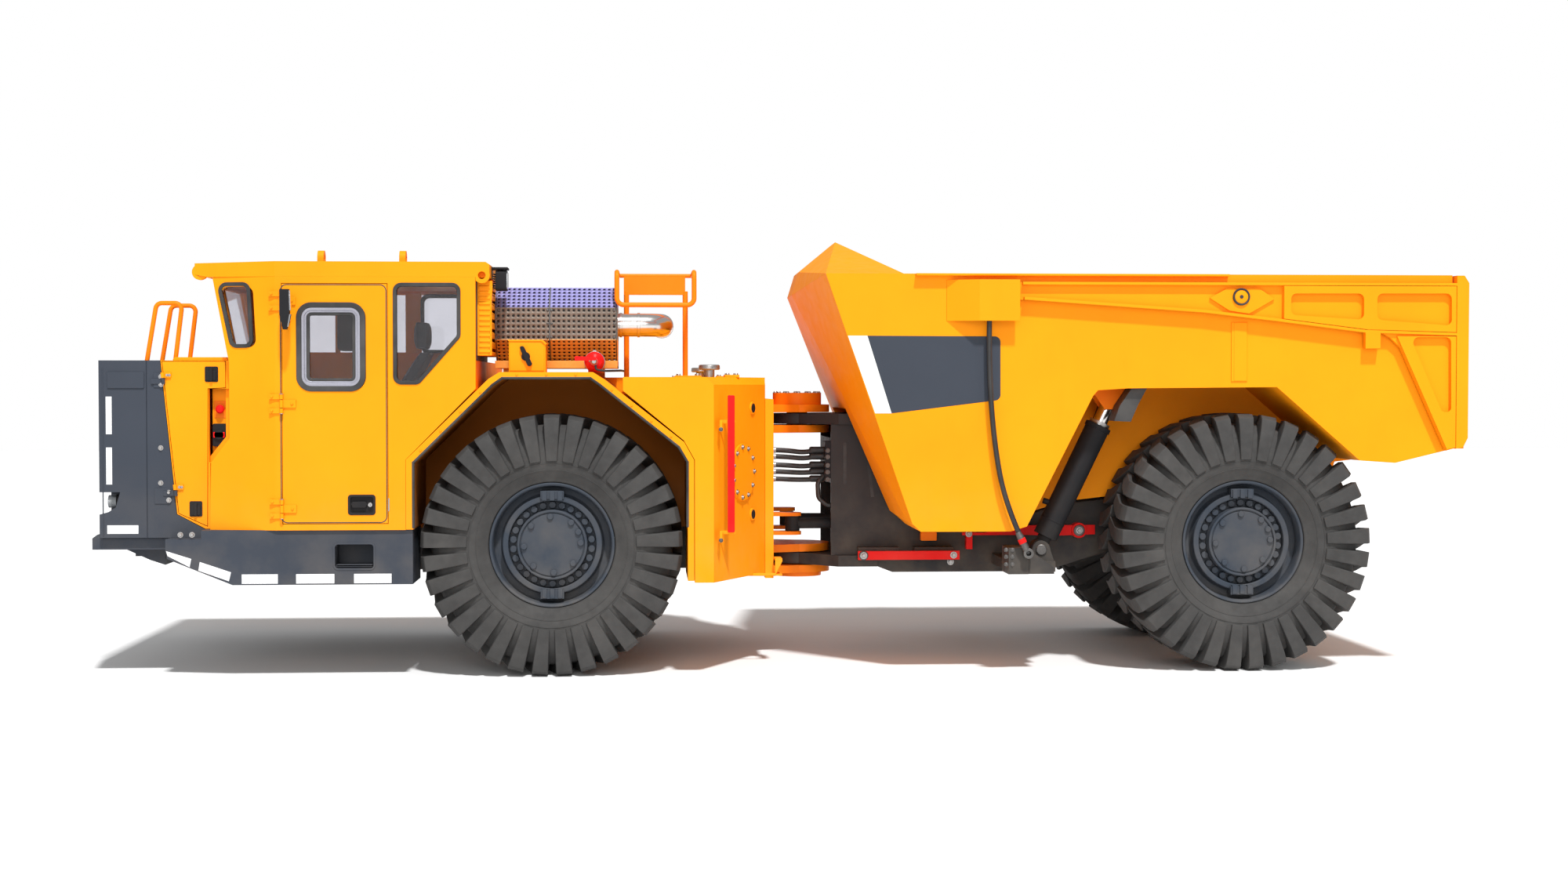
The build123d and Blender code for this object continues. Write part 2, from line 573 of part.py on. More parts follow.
def silencer():
    """Silencer in its eight-sided shield on a base frame, with the tail pipe turned to the right."""
    near, far, low, high, cut = -1250, -550, 2500, 3097, 168
    face = outline([(near, low + cut), (near, high - cut), (near + cut, high), (far - cut, high),
                    (far, high - cut), (far, low + cut), (far - cut, low), (near + cut, low)])
    body = across(face, (-2290, -1307)) + block((-2290, -1307), (near + 15, far - 15), (2442, low + 90))
    for x in (-2230, -1500):
        body += block((x, x + 80), (-700, -600), (BODY_TOP_Z, 2450))
        body += block((x, x + 80), (-1150, -1050), (FENDER_TOP_Z, 2450))
    pipe = bent_tube([(-1308, -900, 2800), (-945, -900, 2800), (-945, -450, 2800)], 95, 170)
    bore = bent_tube([(-1200, -900, 2800), (-945, -900, 2800), (-945, -449, 2800)], 87, 170)
    return body + (pipe - bore)


def exhaust_guard():
    """Tube frame over the tail pipe: a hoop that hangs in front of it, carried by a beam on two posts."""
    (left, right), (near, far), low, top = (-1311, -690), (-1270, -620), 2953, 3219
    body = bent_tube([(left, far + 30, top), (left, near, top), (left, near, low), (right, near, low),
                      (right, near, top), (right, far + 30, top)], 20, 55)
    body += rod((left, far, top), (right, far, top), 17)
    body += block((-1262, -750), (far - 16, far + 16), (3060, top))
    for x in (-1240, -750):
        body += rod((x, far, BODY_TOP_Z), (x, far, 3090), 22)
    return body


def isolator_box():
    """Electrical box with sloping lid behind the cab."""
    return side(outline([(-2160, FENDER_TOP_Z), (-2160, 2660), (-1900, 2660), (-1870, 2630),
                         (-1870, FENDER_TOP_Z)]), (-1560, -1300))


def fire_bottle():
    """Extinguisher bottle lying across the fender, on two cradles."""
    x, z, r = -1487, FENDER_TOP_Z + 84, 79
    profile = [(0, -1262), (r, -1262), (r, -1540), (60, -1580), (28, -1600), (28, -1640), (0, -1640)]
    body = turned(profile, x, z)
    for y in (-1500, -1340):
        body += block((x - 50, x + 50), (y, y + 40), (FENDER_TOP_Z, z - 60))
    return body


# ------------------------------------------------------------------ wheels
def tread_groove():
    """The gap between two rows of lugs, which widens and deepens towards the tyre's sides."""
    half = TYRE_W / 2 + 2
    narrow, wide = GROOVE
    floor = outline([(-half, WALL_ROOT), (-60, LUG_ROOT), (60, LUG_ROOT), (half, WALL_ROOT), (half, 1110),
                     (-half, 1110)])
    taper = outline([(-narrow, WALL_ROOT - 10), (-wide, TYRE_R + 20), (-wide, 1120), (wide, 1120),
                     (wide, TYRE_R + 20), (narrow, WALL_ROOT - 10)])
    return across(floor, (-wide, wide)) & side(taper, slab(half + 1))


def tyre():
    """Lugged tyre about the wheel's own centre, a flat on the tread for each lug."""
    w = TYRE_W / 2
    corner = (TYRE_R - 2) / cos(pi / LUGS)
    turns = [2 * pi * (k + 0.5) / LUGS for k in range(LUGS)]
    body = side(outline([(corner * sin(t), corner * cos(t)) for t in turns]), slab(w))
    body -= turned([(0, -w - 1), (RIM_R, -w - 1), (RIM_R, w + 1), (0, w + 1)])
    body -= both(turned([(RIM_R - 1, 330), (RIM_R, 330), (560, 415), (672, w + 1), (RIM_R - 1, w + 1)]))
    groove = tread_groove()
    cuts = [Rot(0, 360 * (k + 0.5) / LUGS, 0) * groove for k in range(LUGS)]
    return body.cut(*cuts)


def rim():
    """Rim, disc and planetary hub turned in one, bored for the axle spindle."""
    profile = [(0, 345), (250, 345), (250, 330), (275, 330), (275, 235), (370, 235), (370, 260), (400, 260),
               (430, 300), (430, 350), (RIM_R, 350), (RIM_R, -350), (440, -350), (440, 120), (290, 150),
               (240, -380), (SPINDLE_R + FIT, -380), (SPINDLE_R + FIT, 100), (0, 100)]
    body = turned(profile)
    for low in (-432, 362):
        body += block((-95, 95), (236, 325), (low, low + 70))
    return body


def wheel_place(part, x, left):
    """Puts a wheel piece on its spindle; the left ones face -Y."""
    placed = Pos(x, TRACK_HALF, TYRE_R) * part
    return flip(placed) if left else placed


# ------------------------------------------------------------------ rear frame
def rear_chassis():
    """Side plates with the tower behind the hinge, rest pads for the dump body and its cross pin."""
    tower = [(TOWER_FRONT, LOWER_LUG[1]), (TOWER_FRONT, UPPER_LUG[0]), (840, UPPER_LUG[0]), (1180, 1110)]
    beam = aft((-1867, 1110), (-1297, 1295), (-847, 1345), (823, 1590), (963, 1610), (1073, 1500),
               (963, 1390), (563, 920), (-837, 910), (-1437, 725))
    plate = outline(tower + beam + [(1000, 725), (LUG_REAR, 775), (LUG_REAR, LOWER_LUG[1])])
    body = both(side(plate, TOWER_Y))
    inner = slab(TOWER_Y[0])
    body += block((900, 1000), inner, (1250, 1650)) + block((1300, 1400), inner, (760, 1080))
    for x, z in ((-1487, (760, 1200)), (-737, (940, 1300)), (613, (1050, 1350))):
        body += block((REAR_AXLE_X + x, REAR_AXLE_X + x + 100), inner, z)
    base_x = STEER_BASE[0]
    body += block((base_x - 60, base_x + 110), inner, (STEER_Z - 210, STEER_Z - 80))
    body += both(block((1330, 1480), TOWER_Y, (1109, 1138)))
    x, z = BED_PIVOT
    body += rod((x, -TOWER_Y[1] - 20, z), (x, TOWER_Y[1] + 20, z), BED_PIN_R)
    lugs = block((TOWER_FRONT, LUG_REAR), slab(600), LOWER_LUG)
    for low, high in ((LOCK[0][0] + 7, LOCK[0][0] + 353), (LOCK[0][1] - 376, LOCK[0][1] - 45)):
        body += block((low, high), (LOCK_Y[1], -TOWER_Y[1]), (LOCK[1][0] - 8, LOCK[1][1] + 28)) - lugs
    return body - rod((REAR_AXLE_X, -600, TYRE_R), (REAR_AXLE_X, 600, TYRE_R), HOUSING_R)


def hinge_lugs():
    """Upper and lower hinge plates of the rear frame, bored for the articulation pins."""
    body = None
    for z in (UPPER_LUG, LOWER_LUG):
        arm = plan(outline([(PIVOT_X, -LUG_R), (PIVOT_X, LUG_R), (540, 600), (LUG_REAR, 600),
                            (LUG_REAR, -600), (540, -600)]), z)
        arm += rod((PIVOT_X, 0, z[0]), (PIVOT_X, 0, z[1]), LUG_R)
        arm -= rod((PIVOT_X, 0, z[0] - 1), (PIVOT_X, 0, z[1] + 1), PIN_R + FIT)
        body = arm if body is None else body + arm
    return body


def hoist_feet():
    """Outriggers with the lower hoist pins and the pull cable anchors."""
    x, z = HOIST_FOOT
    body = block((x - 270, x + 110), (TOWER_Y[1], 1440), (795, 880))
    body += block((x - 320, x - 160), (1400, CABLE_Y - 45), (800, 1010))
    wedge = outline([(x - 160, 1000), (x - 160, 800), (x + 50, 800), (x + 50, 850)])
    body += side(wedge, (1440, CABLE_Y - 65))
    for y in (HOIST_Y - EAR_GAP - EAR_T, HOIST_Y + EAR_GAP):
        ear = side(outline([(x - 110, 870), (x + 110, 870), (x + 75, z), (x - 75, z)]), (y, y + EAR_T))
        body += ear + rod((x, y, z), (x, y + EAR_T, z), 75)
    body += rod((x, HOIST_Y - EAR_GAP, z), (x, HOIST_Y + EAR_GAP, z), 45)
    x, z = CABLE_FOOT
    body += rod((x, CABLE_Y - 45, z), (x, CABLE_Y - 24, z), 30)
    return both(body)


def lock_bars():
    """Red articulation lock bar and body prop, both stowed on the left side plate."""
    face = -TOWER_Y[1]
    lock = block(LOCK[0], LOCK_Y, LOCK[1])
    bar = aft((-2151, 1064), (-1979, 1060), (-1587, 1121), (-1020, 1123), (-1020, 1043), (-1356, 1033),
              (-1610, 1040), (-2151, 1040))
    prop = side(outline(bar), (face - 90, face - 50))
    x = REAR_AXLE_X - 1159
    prop += rod((x, face, 1078), (x, face - 110, 1078), 64)
    prop += block((REAR_AXLE_X - 2117, REAR_AXLE_X - 2066), (face - 90, face), (922, 1045))
    return lock + prop


def hose_manifold():
    """Valve block on the front of the tower that the cross-over hoses run to."""
    return block((430, TOWER_FRONT), (-TOWER_Y[1], -250), (1520, 1830)) + \
        block((TOWER_FRONT, TOWER_FRONT + 30), slab(TOWER_Y[0]), (1480, 1860))


def crossing_hoses():
    """Five hoses side by side over the articulation."""
    body = None
    for row in range(5):
        z = 1560 + row * 60
        hose = rod((40, -400, z), (430, -400, z), 22)
        body = hose if body is None else body + hose
    return body


# ------------------------------------------------------------------ dump body
def bed_front(shift):
    """Everything behind the dump body's folded front wall, moved back by shift."""
    low, far = 1000, 6000
    ends = {"nose_low": (nose_x(low), 300, low), "nose": (nose_x(3075), 300, 3075),
            "wing_low": (wing_x(low), BODY_HALF, low), "wing": (wing_x(RIM_Z), BODY_HALF, RIM_Z),
            "back_low": (far, BODY_HALF, low), "back": (far, BODY_HALF, RIM_Z)}
    corners = {}
    for name, (x, y, z) in ends.items():
        corners["r_" + name] = (x + shift, y, z)
        corners["l_" + name] = (x + shift, -y, z)
    faces = ["r_nose_low l_nose_low l_nose r_nose", "r_nose l_nose l_wing r_wing",
             "r_wing l_wing l_back r_back", "r_back l_back l_back_low r_back_low",
             "r_nose_low l_nose_low l_wing_low l_back_low r_back_low r_wing_low"]
    for hand in ("r_", "l_"):
        faces += ["{0}nose_low {0}nose {0}wing_low".format(hand), "{0}nose {0}wing {0}wing_low".format(hand),
                  "{0}wing {0}back {0}back_low {0}wing_low".format(hand)]
    return faceted(corners, faces)


def bed_hood(shift, drop):
    """Spill guard: a hipped cover that rises from the front rim to a peak."""
    ends = {"nose": (nose_x(3075), 300, 3075), "brow": (225, 300, 3270), "peak": (540, 260, 3530),
            "wing": (wing_x(RIM_Z), BODY_HALF, RIM_Z), "rear": (960, BODY_HALF, RIM_Z)}
    corners = {}
    for name, (x, y, z) in ends.items():
        corners["r_" + name] = (x + shift, y, z - drop)
        corners["l_" + name] = (x + shift, -y, z - drop)
    faces = ["r_nose l_nose l_brow r_brow", "r_brow l_brow l_peak r_peak", "r_peak l_peak l_rear r_rear",
             "r_nose l_nose l_wing r_wing", "r_wing l_wing l_rear r_rear"]
    for hand in ("r_", "l_"):
        faces += ["{0}nose {0}brow {0}wing".format(hand), "{0}brow {0}peak {0}wing".format(hand),
                  "{0}wing {0}peak {0}rear".format(hand)]
    return faceted(corners, faces)


def bed_body():
    """Welded dump body: deep front, arches over the rear wheels, a trough between them."""
    w = BED_WALL
    outer = side(outline(BED_UPPER), slab(BODY_HALF)) + side(outline(BED_TROUGH), slab(TROUGH_HALF))
    outer = (outer & bed_front(0)) + bed_hood(0, 0)
    outer -= side(outline(NOTCH), slab(NOTCH_HALF))
    room = side(outline(BED_UPPER, inset=w), slab(BODY_HALF - w))
    room += block((1000, BED_REAR + 1), slab(BODY_HALF - w), (RIM_Z - w - 1, RIM_Z + 1))
    room += block((300, 1100), slab(BODY_HALF - w), (2600, RIM_Z + 1))
    room += block((BED_REAR - w - 1, BED_REAR + 1), slab(BODY_HALF - w), (1850, RIM_Z + 1))
    room += side(outline(BED_TROUGH, inset=w), slab(TROUGH_HALF - w))
    room += block((1600, 4800), slab(TROUGH_HALF - w), (2200, 2400))
    room = room & bed_front(w)
    room += bed_hood(w, w) & block((0, 1100), slab(BODY_HALF - w), (2900, 3600))
    room -= side(outline(NOTCH, inset=-w), slab(NOTCH_HALF + w))
    return outer - room, room


def bed_shell(body):
    """The dump body less what lies under its wheel arches."""
    return body - side(outline(WHEEL_ARCH), slab(BODY_HALF + 1))


def bed_trough(body, room):
    """Walls and floor of the trough under the wheel arches, with the tipping hinge's lugs."""
    trough = body & side(outline(WHEEL_ARCH), slab(BODY_HALF))
    x, z = BED_PIVOT
    lug = side(outline([(x - 150, 1700), (x + 150, 1720), (x + 75, z), (x - 75, z)]), (450, 510))
    lug += rod((x, 450, z), (x, 510, z), 95)
    lug -= rod((x, 449, z), (x, 511, z), BED_PIN_R + FIT)
    lug -= room + side(outline(BED_UPPER), slab(BODY_HALF))
    return trough + both(lug)


def bed_guards():
    """Boxes over the tailgate arms' front ends, arm pivots and wear pads on the body's sides."""
    low, top = 2814, 3140
    outer = aft((-2437, BODY_HALF), (-2188, GUARD_Y), (-1866, GUARD_Y), (-1866, BODY_HALF))
    inner = aft((-2392, BODY_HALF), (-2182, GUARD_Y - 15), (-1837, GUARD_Y - 15), (-1837, BODY_HALF))
    box = plan(outline(outer), (low, top)) - plan(outline(inner), (low - 1, top - 15))
    x, z = GATE_PIVOT
    box += rod((x, BODY_HALF, z), (x, ARM_Y[1] + 30, z), GATE_PIN_R)
    box += block((x - 64, x + 60), (BODY_HALF, BODY_HALF + 8), (2336, 2808))
    return both(box)


def hoist_clevises():
    """Orange brackets under the arches that take the hoist cylinders' upper pins."""
    x, z = HOIST_HEAD
    body = None
    for y in (HOIST_Y - EAR_GAP - EAR_T, HOIST_Y + EAR_GAP):
        ear = side(outline([(x - 160, 2300), (x - 160, 2250), (x - 60, z - 60), (x + 60, z - 60),
                            (x + 170, 2250), (x + 170, 2300)]), (y, y + EAR_T))
        body = ear if body is None else body + ear
    return both(body - side(outline(BED_UPPER), slab(BODY_HALF)))


def mud_flaps():
    """Rubber flaps in front of the rear wheels."""
    face = outline(aft((-921, 2300), (-800, 2300), (-877, 2160), (-942, 2013), (-1075, 2019), (-1031, 2139)))
    flap = side(face, (TROUGH_HALF + 55, HOIST_Y - 120)) + side(face, (HOIST_Y + 120, BODY_HALF - 50))
    return both(flap - side(outline(BED_UPPER), slab(BODY_HALF)))


def tailgate():
    """Gate panel hung on long side arms outside the dump body."""
    proud = (ARM_Y[1], ARM_Y[1] + 20)
    arm = side(outline(ARM), ARM_Y) + side(outline(WING), ARM_Y)
    arm += block((REAR_AXLE_X - 1837, REAR_AXLE_X + 1675), (ARM_Y[1], ARM_FLANGE), (3102, 3124))
    arm += side(outline(ARM_STRIP), (ARM_Y[1], ARM_FLANGE))
    frame = outline(ARM_FRAME)
    for pocket in ARM_POCKETS:
        frame -= outline(pocket, rounds=30)
    arm += side(frame, proud) + side(outline(DIAMOND), proud)
    arm += block((REAR_AXLE_X + 929, REAR_AXLE_X + 1052), (ARM_Y[0], ARM_FLANGE), (2599, 2740))
    arm += side(outline(GATE_END), (ARM_Y[0] - 60, ARM_FLANGE))
    x, z = GATE_PIVOT
    arm -= rod((x, ARM_Y[0] - 1, z), (x, proud[1] + 1, z), GATE_PIN_R + FIT)
    low, top, back = 1795, 3184, REAR_AXLE_X + 1725
    gate = block((back - 40, back), slab(ARM_Y[0]), (low, top))
    for z in ((low, low + 110), (2400, 2500), (top - 110, top)):
        gate += block((back, back + 35), slab(ARM_Y[0]), z)
    for y in (-1160, -580, 0, 580, 1160):
        gate += block((back, back + 35), (y - 50, y + 50), (low, top))
    return both(arm) + gate


def pull_cable():
    """Sleeved wire rope from the rear frame to the tailgate arm, with an eye at each end."""
    foot, top = CABLE_FOOT, CABLE_TOP
    x = top[0]
    points = [(foot[0], CABLE_Y, foot[1]), (x + 130, CABLE_Y, 1330), (x + 25, CABLE_Y, 1900),
              (x - 15, CABLE_Y, 2600), (x, CABLE_Y, top[1])]
    rope = bent_tube(points, CABLE_R, 250)
    for x, z in (foot, top):
        rope += rod((x, CABLE_Y - 22, z), (x, CABLE_Y + 22, z), 42)
    return rope


# ------------------------------------------------------------------ cylinders
def along(start, end, distance):
    """The point that lies a distance from start on the line to end."""
    run = Vector(*end) - Vector(*start)
    return Vector(*start) + run * (distance / run.length)


def hoist_cylinder():
    """Tube, stage and rod of a two-stage hoist cylinder, on the right side."""
    foot = (HOIST_FOOT[0], HOIST_Y, HOIST_FOOT[1])
    head = (HOIST_HEAD[0], HOIST_Y, HOIST_HEAD[1])
    reach = (Vector(*head) - Vector(*foot)).length
    stage_r = HOIST_R * HOIST_STEPS
    rod_r = stage_r * HOIST_STEPS
    half = EAR_GAP - 10
    at = lambda distance: tuple(along(foot, head, distance))
    tube = rod(at(115), at(1120), HOIST_R) - rod(at(130), at(1121), stage_r + FIT)
    tube += rod(at(0), at(116), half - 2)
    eye = rod((foot[0], HOIST_Y - half, foot[2]), (foot[0], HOIST_Y + half, foot[2]), 80)
    bore = rod((foot[0], HOIST_Y - EAR_GAP, foot[2]), (foot[0], HOIST_Y + EAR_GAP, foot[2]), 45 + FIT)
    tube = tube + eye - bore
    stage = rod(at(135), at(1150), stage_r) - rod(at(150), at(1151), rod_r + FIT)
    piston = rod(at(155), at(reach - 40), rod_r)
    piston += rod((head[0], HOIST_Y - half, head[2]), (head[0], HOIST_Y + half, head[2]), 72)
    return tube, stage, piston


def steering_cylinder():
    """Tube and rod of a steering cylinder, on the right side."""
    base = (STEER_BASE[0], STEER_BASE[1], STEER_Z)
    eye = (STEER_EYE[0], STEER_EYE[1], STEER_Z)
    reach = (Vector(*eye) - Vector(*base)).length
    at = lambda distance: tuple(along(base, eye, distance))
    bottom, mouth = STEER_BORE
    tube = rod(at(60), at(mouth), STEER_R) - rod(at(bottom), at(mouth + 1), 45 + FIT)
    tube += rod((base[0], base[1], STEER_Z - 80), (base[0], base[1], STEER_Z + 60), 72)
    piston = rod(at(STEER_PISTON), at(reach - 40), 45)
    piston += rod((eye[0], eye[1], STEER_Z - 60), (eye[0], eye[1], STEER_Z + 60), 62)
    return tube, piston


# ------------------------------------------------------------------ files
def write(name, part):
    export_step(part, "parts/" + name + ".step")


def main():
    os.makedirs("parts", exist_ok=True)
    single = {
        "front_chassis": front_chassis, "front_bumper": front_bumper, "front_shell": front_shell,
        "radiator_grille": radiator_grille, "headlamps": headlamps, "engine_block": engine_block,
        "engine_hood": engine_hood, "service_hatch": service_hatch, "side_sills": side_sills,
        "front_fenders": front_fenders, "transmission_cover": transmission_cover, "side_tanks": side_tanks,
        "hinge_forks": hinge_forks, "cab_shell": cab_shell, "cab_roof": cab_roof, "cab_glass": cab_glass,
        "cab_door": cab_door, "door_glass": door_glass, "cab_seat": cab_seat, "cab_console": cab_console,
        "cab_louvre": cab_louvre, "deck_rails": deck_rails, "silencer": silencer,
        "exhaust_guard": exhaust_guard, "isolator_box": isolator_box, "fire_bottle": fire_bottle,
        "rear_chassis": rear_chassis, "hinge_lugs": hinge_lugs,
        "hoist_feet": hoist_feet, "lock_bars": lock_bars, "hose_manifold": hose_manifold,
        "crossing_hoses": crossing_hoses, "bed_guards": bed_guards, "hoist_clevises": hoist_clevises,
        "mud_flaps": mud_flaps, "tailgate": tailgate,
    }
    for name, make in single.items():
        write(name, make())
    body, room = bed_body()
    write("bed_shell", bed_shell(body))
    write("bed_trough", bed_trough(body, room))
    write("front_axle", axle(FRONT_AXLE_X))
    write("rear_axle", axle(REAR_AXLE_X))
    tyre_shape, rim_shape = tyre(), rim()
    cable = pull_cable()
    hoist = dict(zip(("hoist_tube", "hoist_stage", "hoist_rod"), hoist_cylinder()))
    steer = dict(zip(("steer_tube", "steer_rod"), steering_cylinder()))
    for left, tag in ((True, "left"), (False, "right")):
        hand = flip if left else Part
        for end, x in (("front", FRONT_AXLE_X), ("rear", REAR_AXLE_X)):
            write("tyre_{}_{}".format(end, tag), wheel_place(tyre_shape, x, left))
            write("rim_{}_{}".format(end, tag), wheel_place(rim_shape, x, left))
        for name, part in {"pull_cable": cable, **hoist, **steer}.items():
            write(name + "_" + tag, flip(part) if left else part)


main()
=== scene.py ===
"""Finishes, tyres, fittings, hoses and lights for the articulated dump truck."""
import json
import math

import bmesh
import bpy
from mathutils import Matrix, Vector


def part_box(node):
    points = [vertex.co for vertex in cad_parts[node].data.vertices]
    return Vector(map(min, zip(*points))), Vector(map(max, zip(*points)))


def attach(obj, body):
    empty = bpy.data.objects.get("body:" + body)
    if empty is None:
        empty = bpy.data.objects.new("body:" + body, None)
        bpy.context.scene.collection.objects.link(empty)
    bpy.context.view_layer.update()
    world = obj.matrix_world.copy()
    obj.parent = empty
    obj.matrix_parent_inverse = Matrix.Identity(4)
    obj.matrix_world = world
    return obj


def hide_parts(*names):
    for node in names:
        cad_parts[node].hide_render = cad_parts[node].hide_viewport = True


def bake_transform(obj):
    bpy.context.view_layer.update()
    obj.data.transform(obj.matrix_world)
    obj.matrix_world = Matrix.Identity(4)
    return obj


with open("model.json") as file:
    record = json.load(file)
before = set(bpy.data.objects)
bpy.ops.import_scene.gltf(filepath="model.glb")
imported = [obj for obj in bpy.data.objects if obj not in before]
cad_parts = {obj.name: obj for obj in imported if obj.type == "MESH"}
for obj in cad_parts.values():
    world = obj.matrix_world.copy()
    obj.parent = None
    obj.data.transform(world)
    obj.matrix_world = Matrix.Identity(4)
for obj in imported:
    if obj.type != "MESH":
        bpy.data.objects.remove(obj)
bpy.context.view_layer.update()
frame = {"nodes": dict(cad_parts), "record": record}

bl_info = {
    "name": "Underground Truck Dresser",
    "version": (1, 0, 0),
    "blender": (4, 5, 0),
    "location": "View3D > Sidebar > Truck",
    "description": "Dresses the packed dump truck with finishes, tyres, trim, hoses and a studio",
    "category": "Object",
}

MM = 0.001
LEFT, RIGHT = -1, 1


class Edges:
    """A CAD node's box in millimetres: x0 x1 y0 y1 z0 z1."""

    def __init__(self, node):
        low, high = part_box(node)
        self.x0, self.y0, self.z0 = (round(value / MM, 2) for value in low)
        self.x1, self.y1, self.z1 = (round(value / MM, 2) for value in high)


SHELL = Edges("front_shell")
SILL = Edges("side_sills")
DOOR = Edges("cab_door")
CAB = Edges("cab_shell")
TANK = Edges("side_tanks")
BED = Edges("bed_shell")
FORKS = Edges("hinge_forks")
FENDER = Edges("front_fenders")
WHEELS = {(end, hand): "wheel_{}_{}".format(end, hand)
          for end in ("front", "rear") for hand in ("left", "right")}

OUTWARD = (0, -1, 0)                            # facing of the left side
CAB_WALL = CAB.y0 + 34                          # y of the cab's left wall, which the hinges stand proud of
CAB_FLOOR = 1232                                # top of the cab's floor
DOOR_HINGES = (1340, 2160, 2960)                # levels of the cab door's hinges
HOSE_LEVELS = (1511, 1573, 1630, 1701, 1755)    # levels of the hoses over the articulation
PIVOT_X = 230                                   # vertical articulation pin
BODY_SIDE = 1700                                # dump body's side wall from the centre line
ARM_FACE = -(BODY_SIDE + 33 + 20)               # y of the left tailgate arm's outer face
PIPE_X, PIPE_Y, PIPE_Z = -945, -900, 2800       # where the tail pipe turns
ANCHOR_X, ANCHOR_Z = 1950, 970                  # lower pins of the pull ropes
HOIST_FOOT_X, HOIST_FOOT_Z = 2120, 970          # lower pins of the hoist cylinders
HOIST_Y = 1300                                  # hoist cylinders from the centre line
DRUM = (0, PIPE_Y, PIPE_Z - 2)                  # line of the silencer's drum
ARCH_PITCH = 190                                # least distance between the bolts of a wheel arch
BEVEL_FROM = 32                                 # degrees of turn from which an edge is rounded
HEAD_RADIUS = 0.577                             # a six-sided head's radius, by its width across flats
CAMERA_AT = (-1.084, -18.877, 2.291)            # in metres
CAMERA_TURN = (88.58, 0, -3.643)                # in degrees
FLOOR_REACH = 60000                             # studio floor from the origin


# ------------------------------------------------------------------ outlines
def rounded(points, radius, steps=5):
    """The outline with each corner replaced by an arc."""
    result = []
    count = len(points)
    for i, corner in enumerate(points):
        here = Vector(corner)
        back = Vector(points[i - 1]) - here
        ahead = Vector(points[(i + 1) % count]) - here
        half = back.angle(ahead) / 2
        reach = min(radius / math.tan(half), back.length * 0.49, ahead.length * 0.49)
        used = reach * math.tan(half)
        centre = here + (back.normalized() + ahead.normalized()).normalized() * (used / math.sin(half))
        start, end = here + back.normalized() * reach, here + ahead.normalized() * reach
        a, b = start - centre, end - centre
        turn = a.angle_signed(b)
        for k in range(steps + 1):
            angle = -turn * k / steps
            c, s = math.cos(angle), math.sin(angle)
            result.append((centre.x + a.x * c - a.y * s, centre.y + a.x * s + a.y * c))
    return result


def area(points):
    return sum(a[0] * b[1] - b[0] * a[1] for a, b in zip(points, points[1:] + points[:1])) / 2


def shrunk(points, distance):
    """The outline moved inwards by a distance, corner by corner."""
    turn = 1 if area(points) > 0 else -1
    result = []
    for i, corner in enumerate(points):
        here = Vector(corner)
        a = (here - Vector(points[i - 1])).normalized()
        b = (Vector(points[(i + 1) % len(points)]) - here).normalized()
        na, nb = Vector((-a.y, a.x)) * turn, Vector((-b.y, b.x)) * turn
        n = (na + nb).normalized()
        result.append(tuple(here + n * (distance / max(n.dot(na), 0.2))))
    return result


def box_outline(x, z):
    return [(x[0], z[0]), (x[1], z[0]), (x[1], z[1]), (x[0], z[1])]


# ------------------------------------------------------------------ shapes
PLACES = {"y": lambda u, v, w: (u, w, v), "z": lambda u, v, w: (u, v, w), "x": lambda u, v, w: (w, u, v)}


def circle(count):
    """Angles of evenly spaced points round a circle."""
    return [2 * math.pi * k / count for k in range(count)]


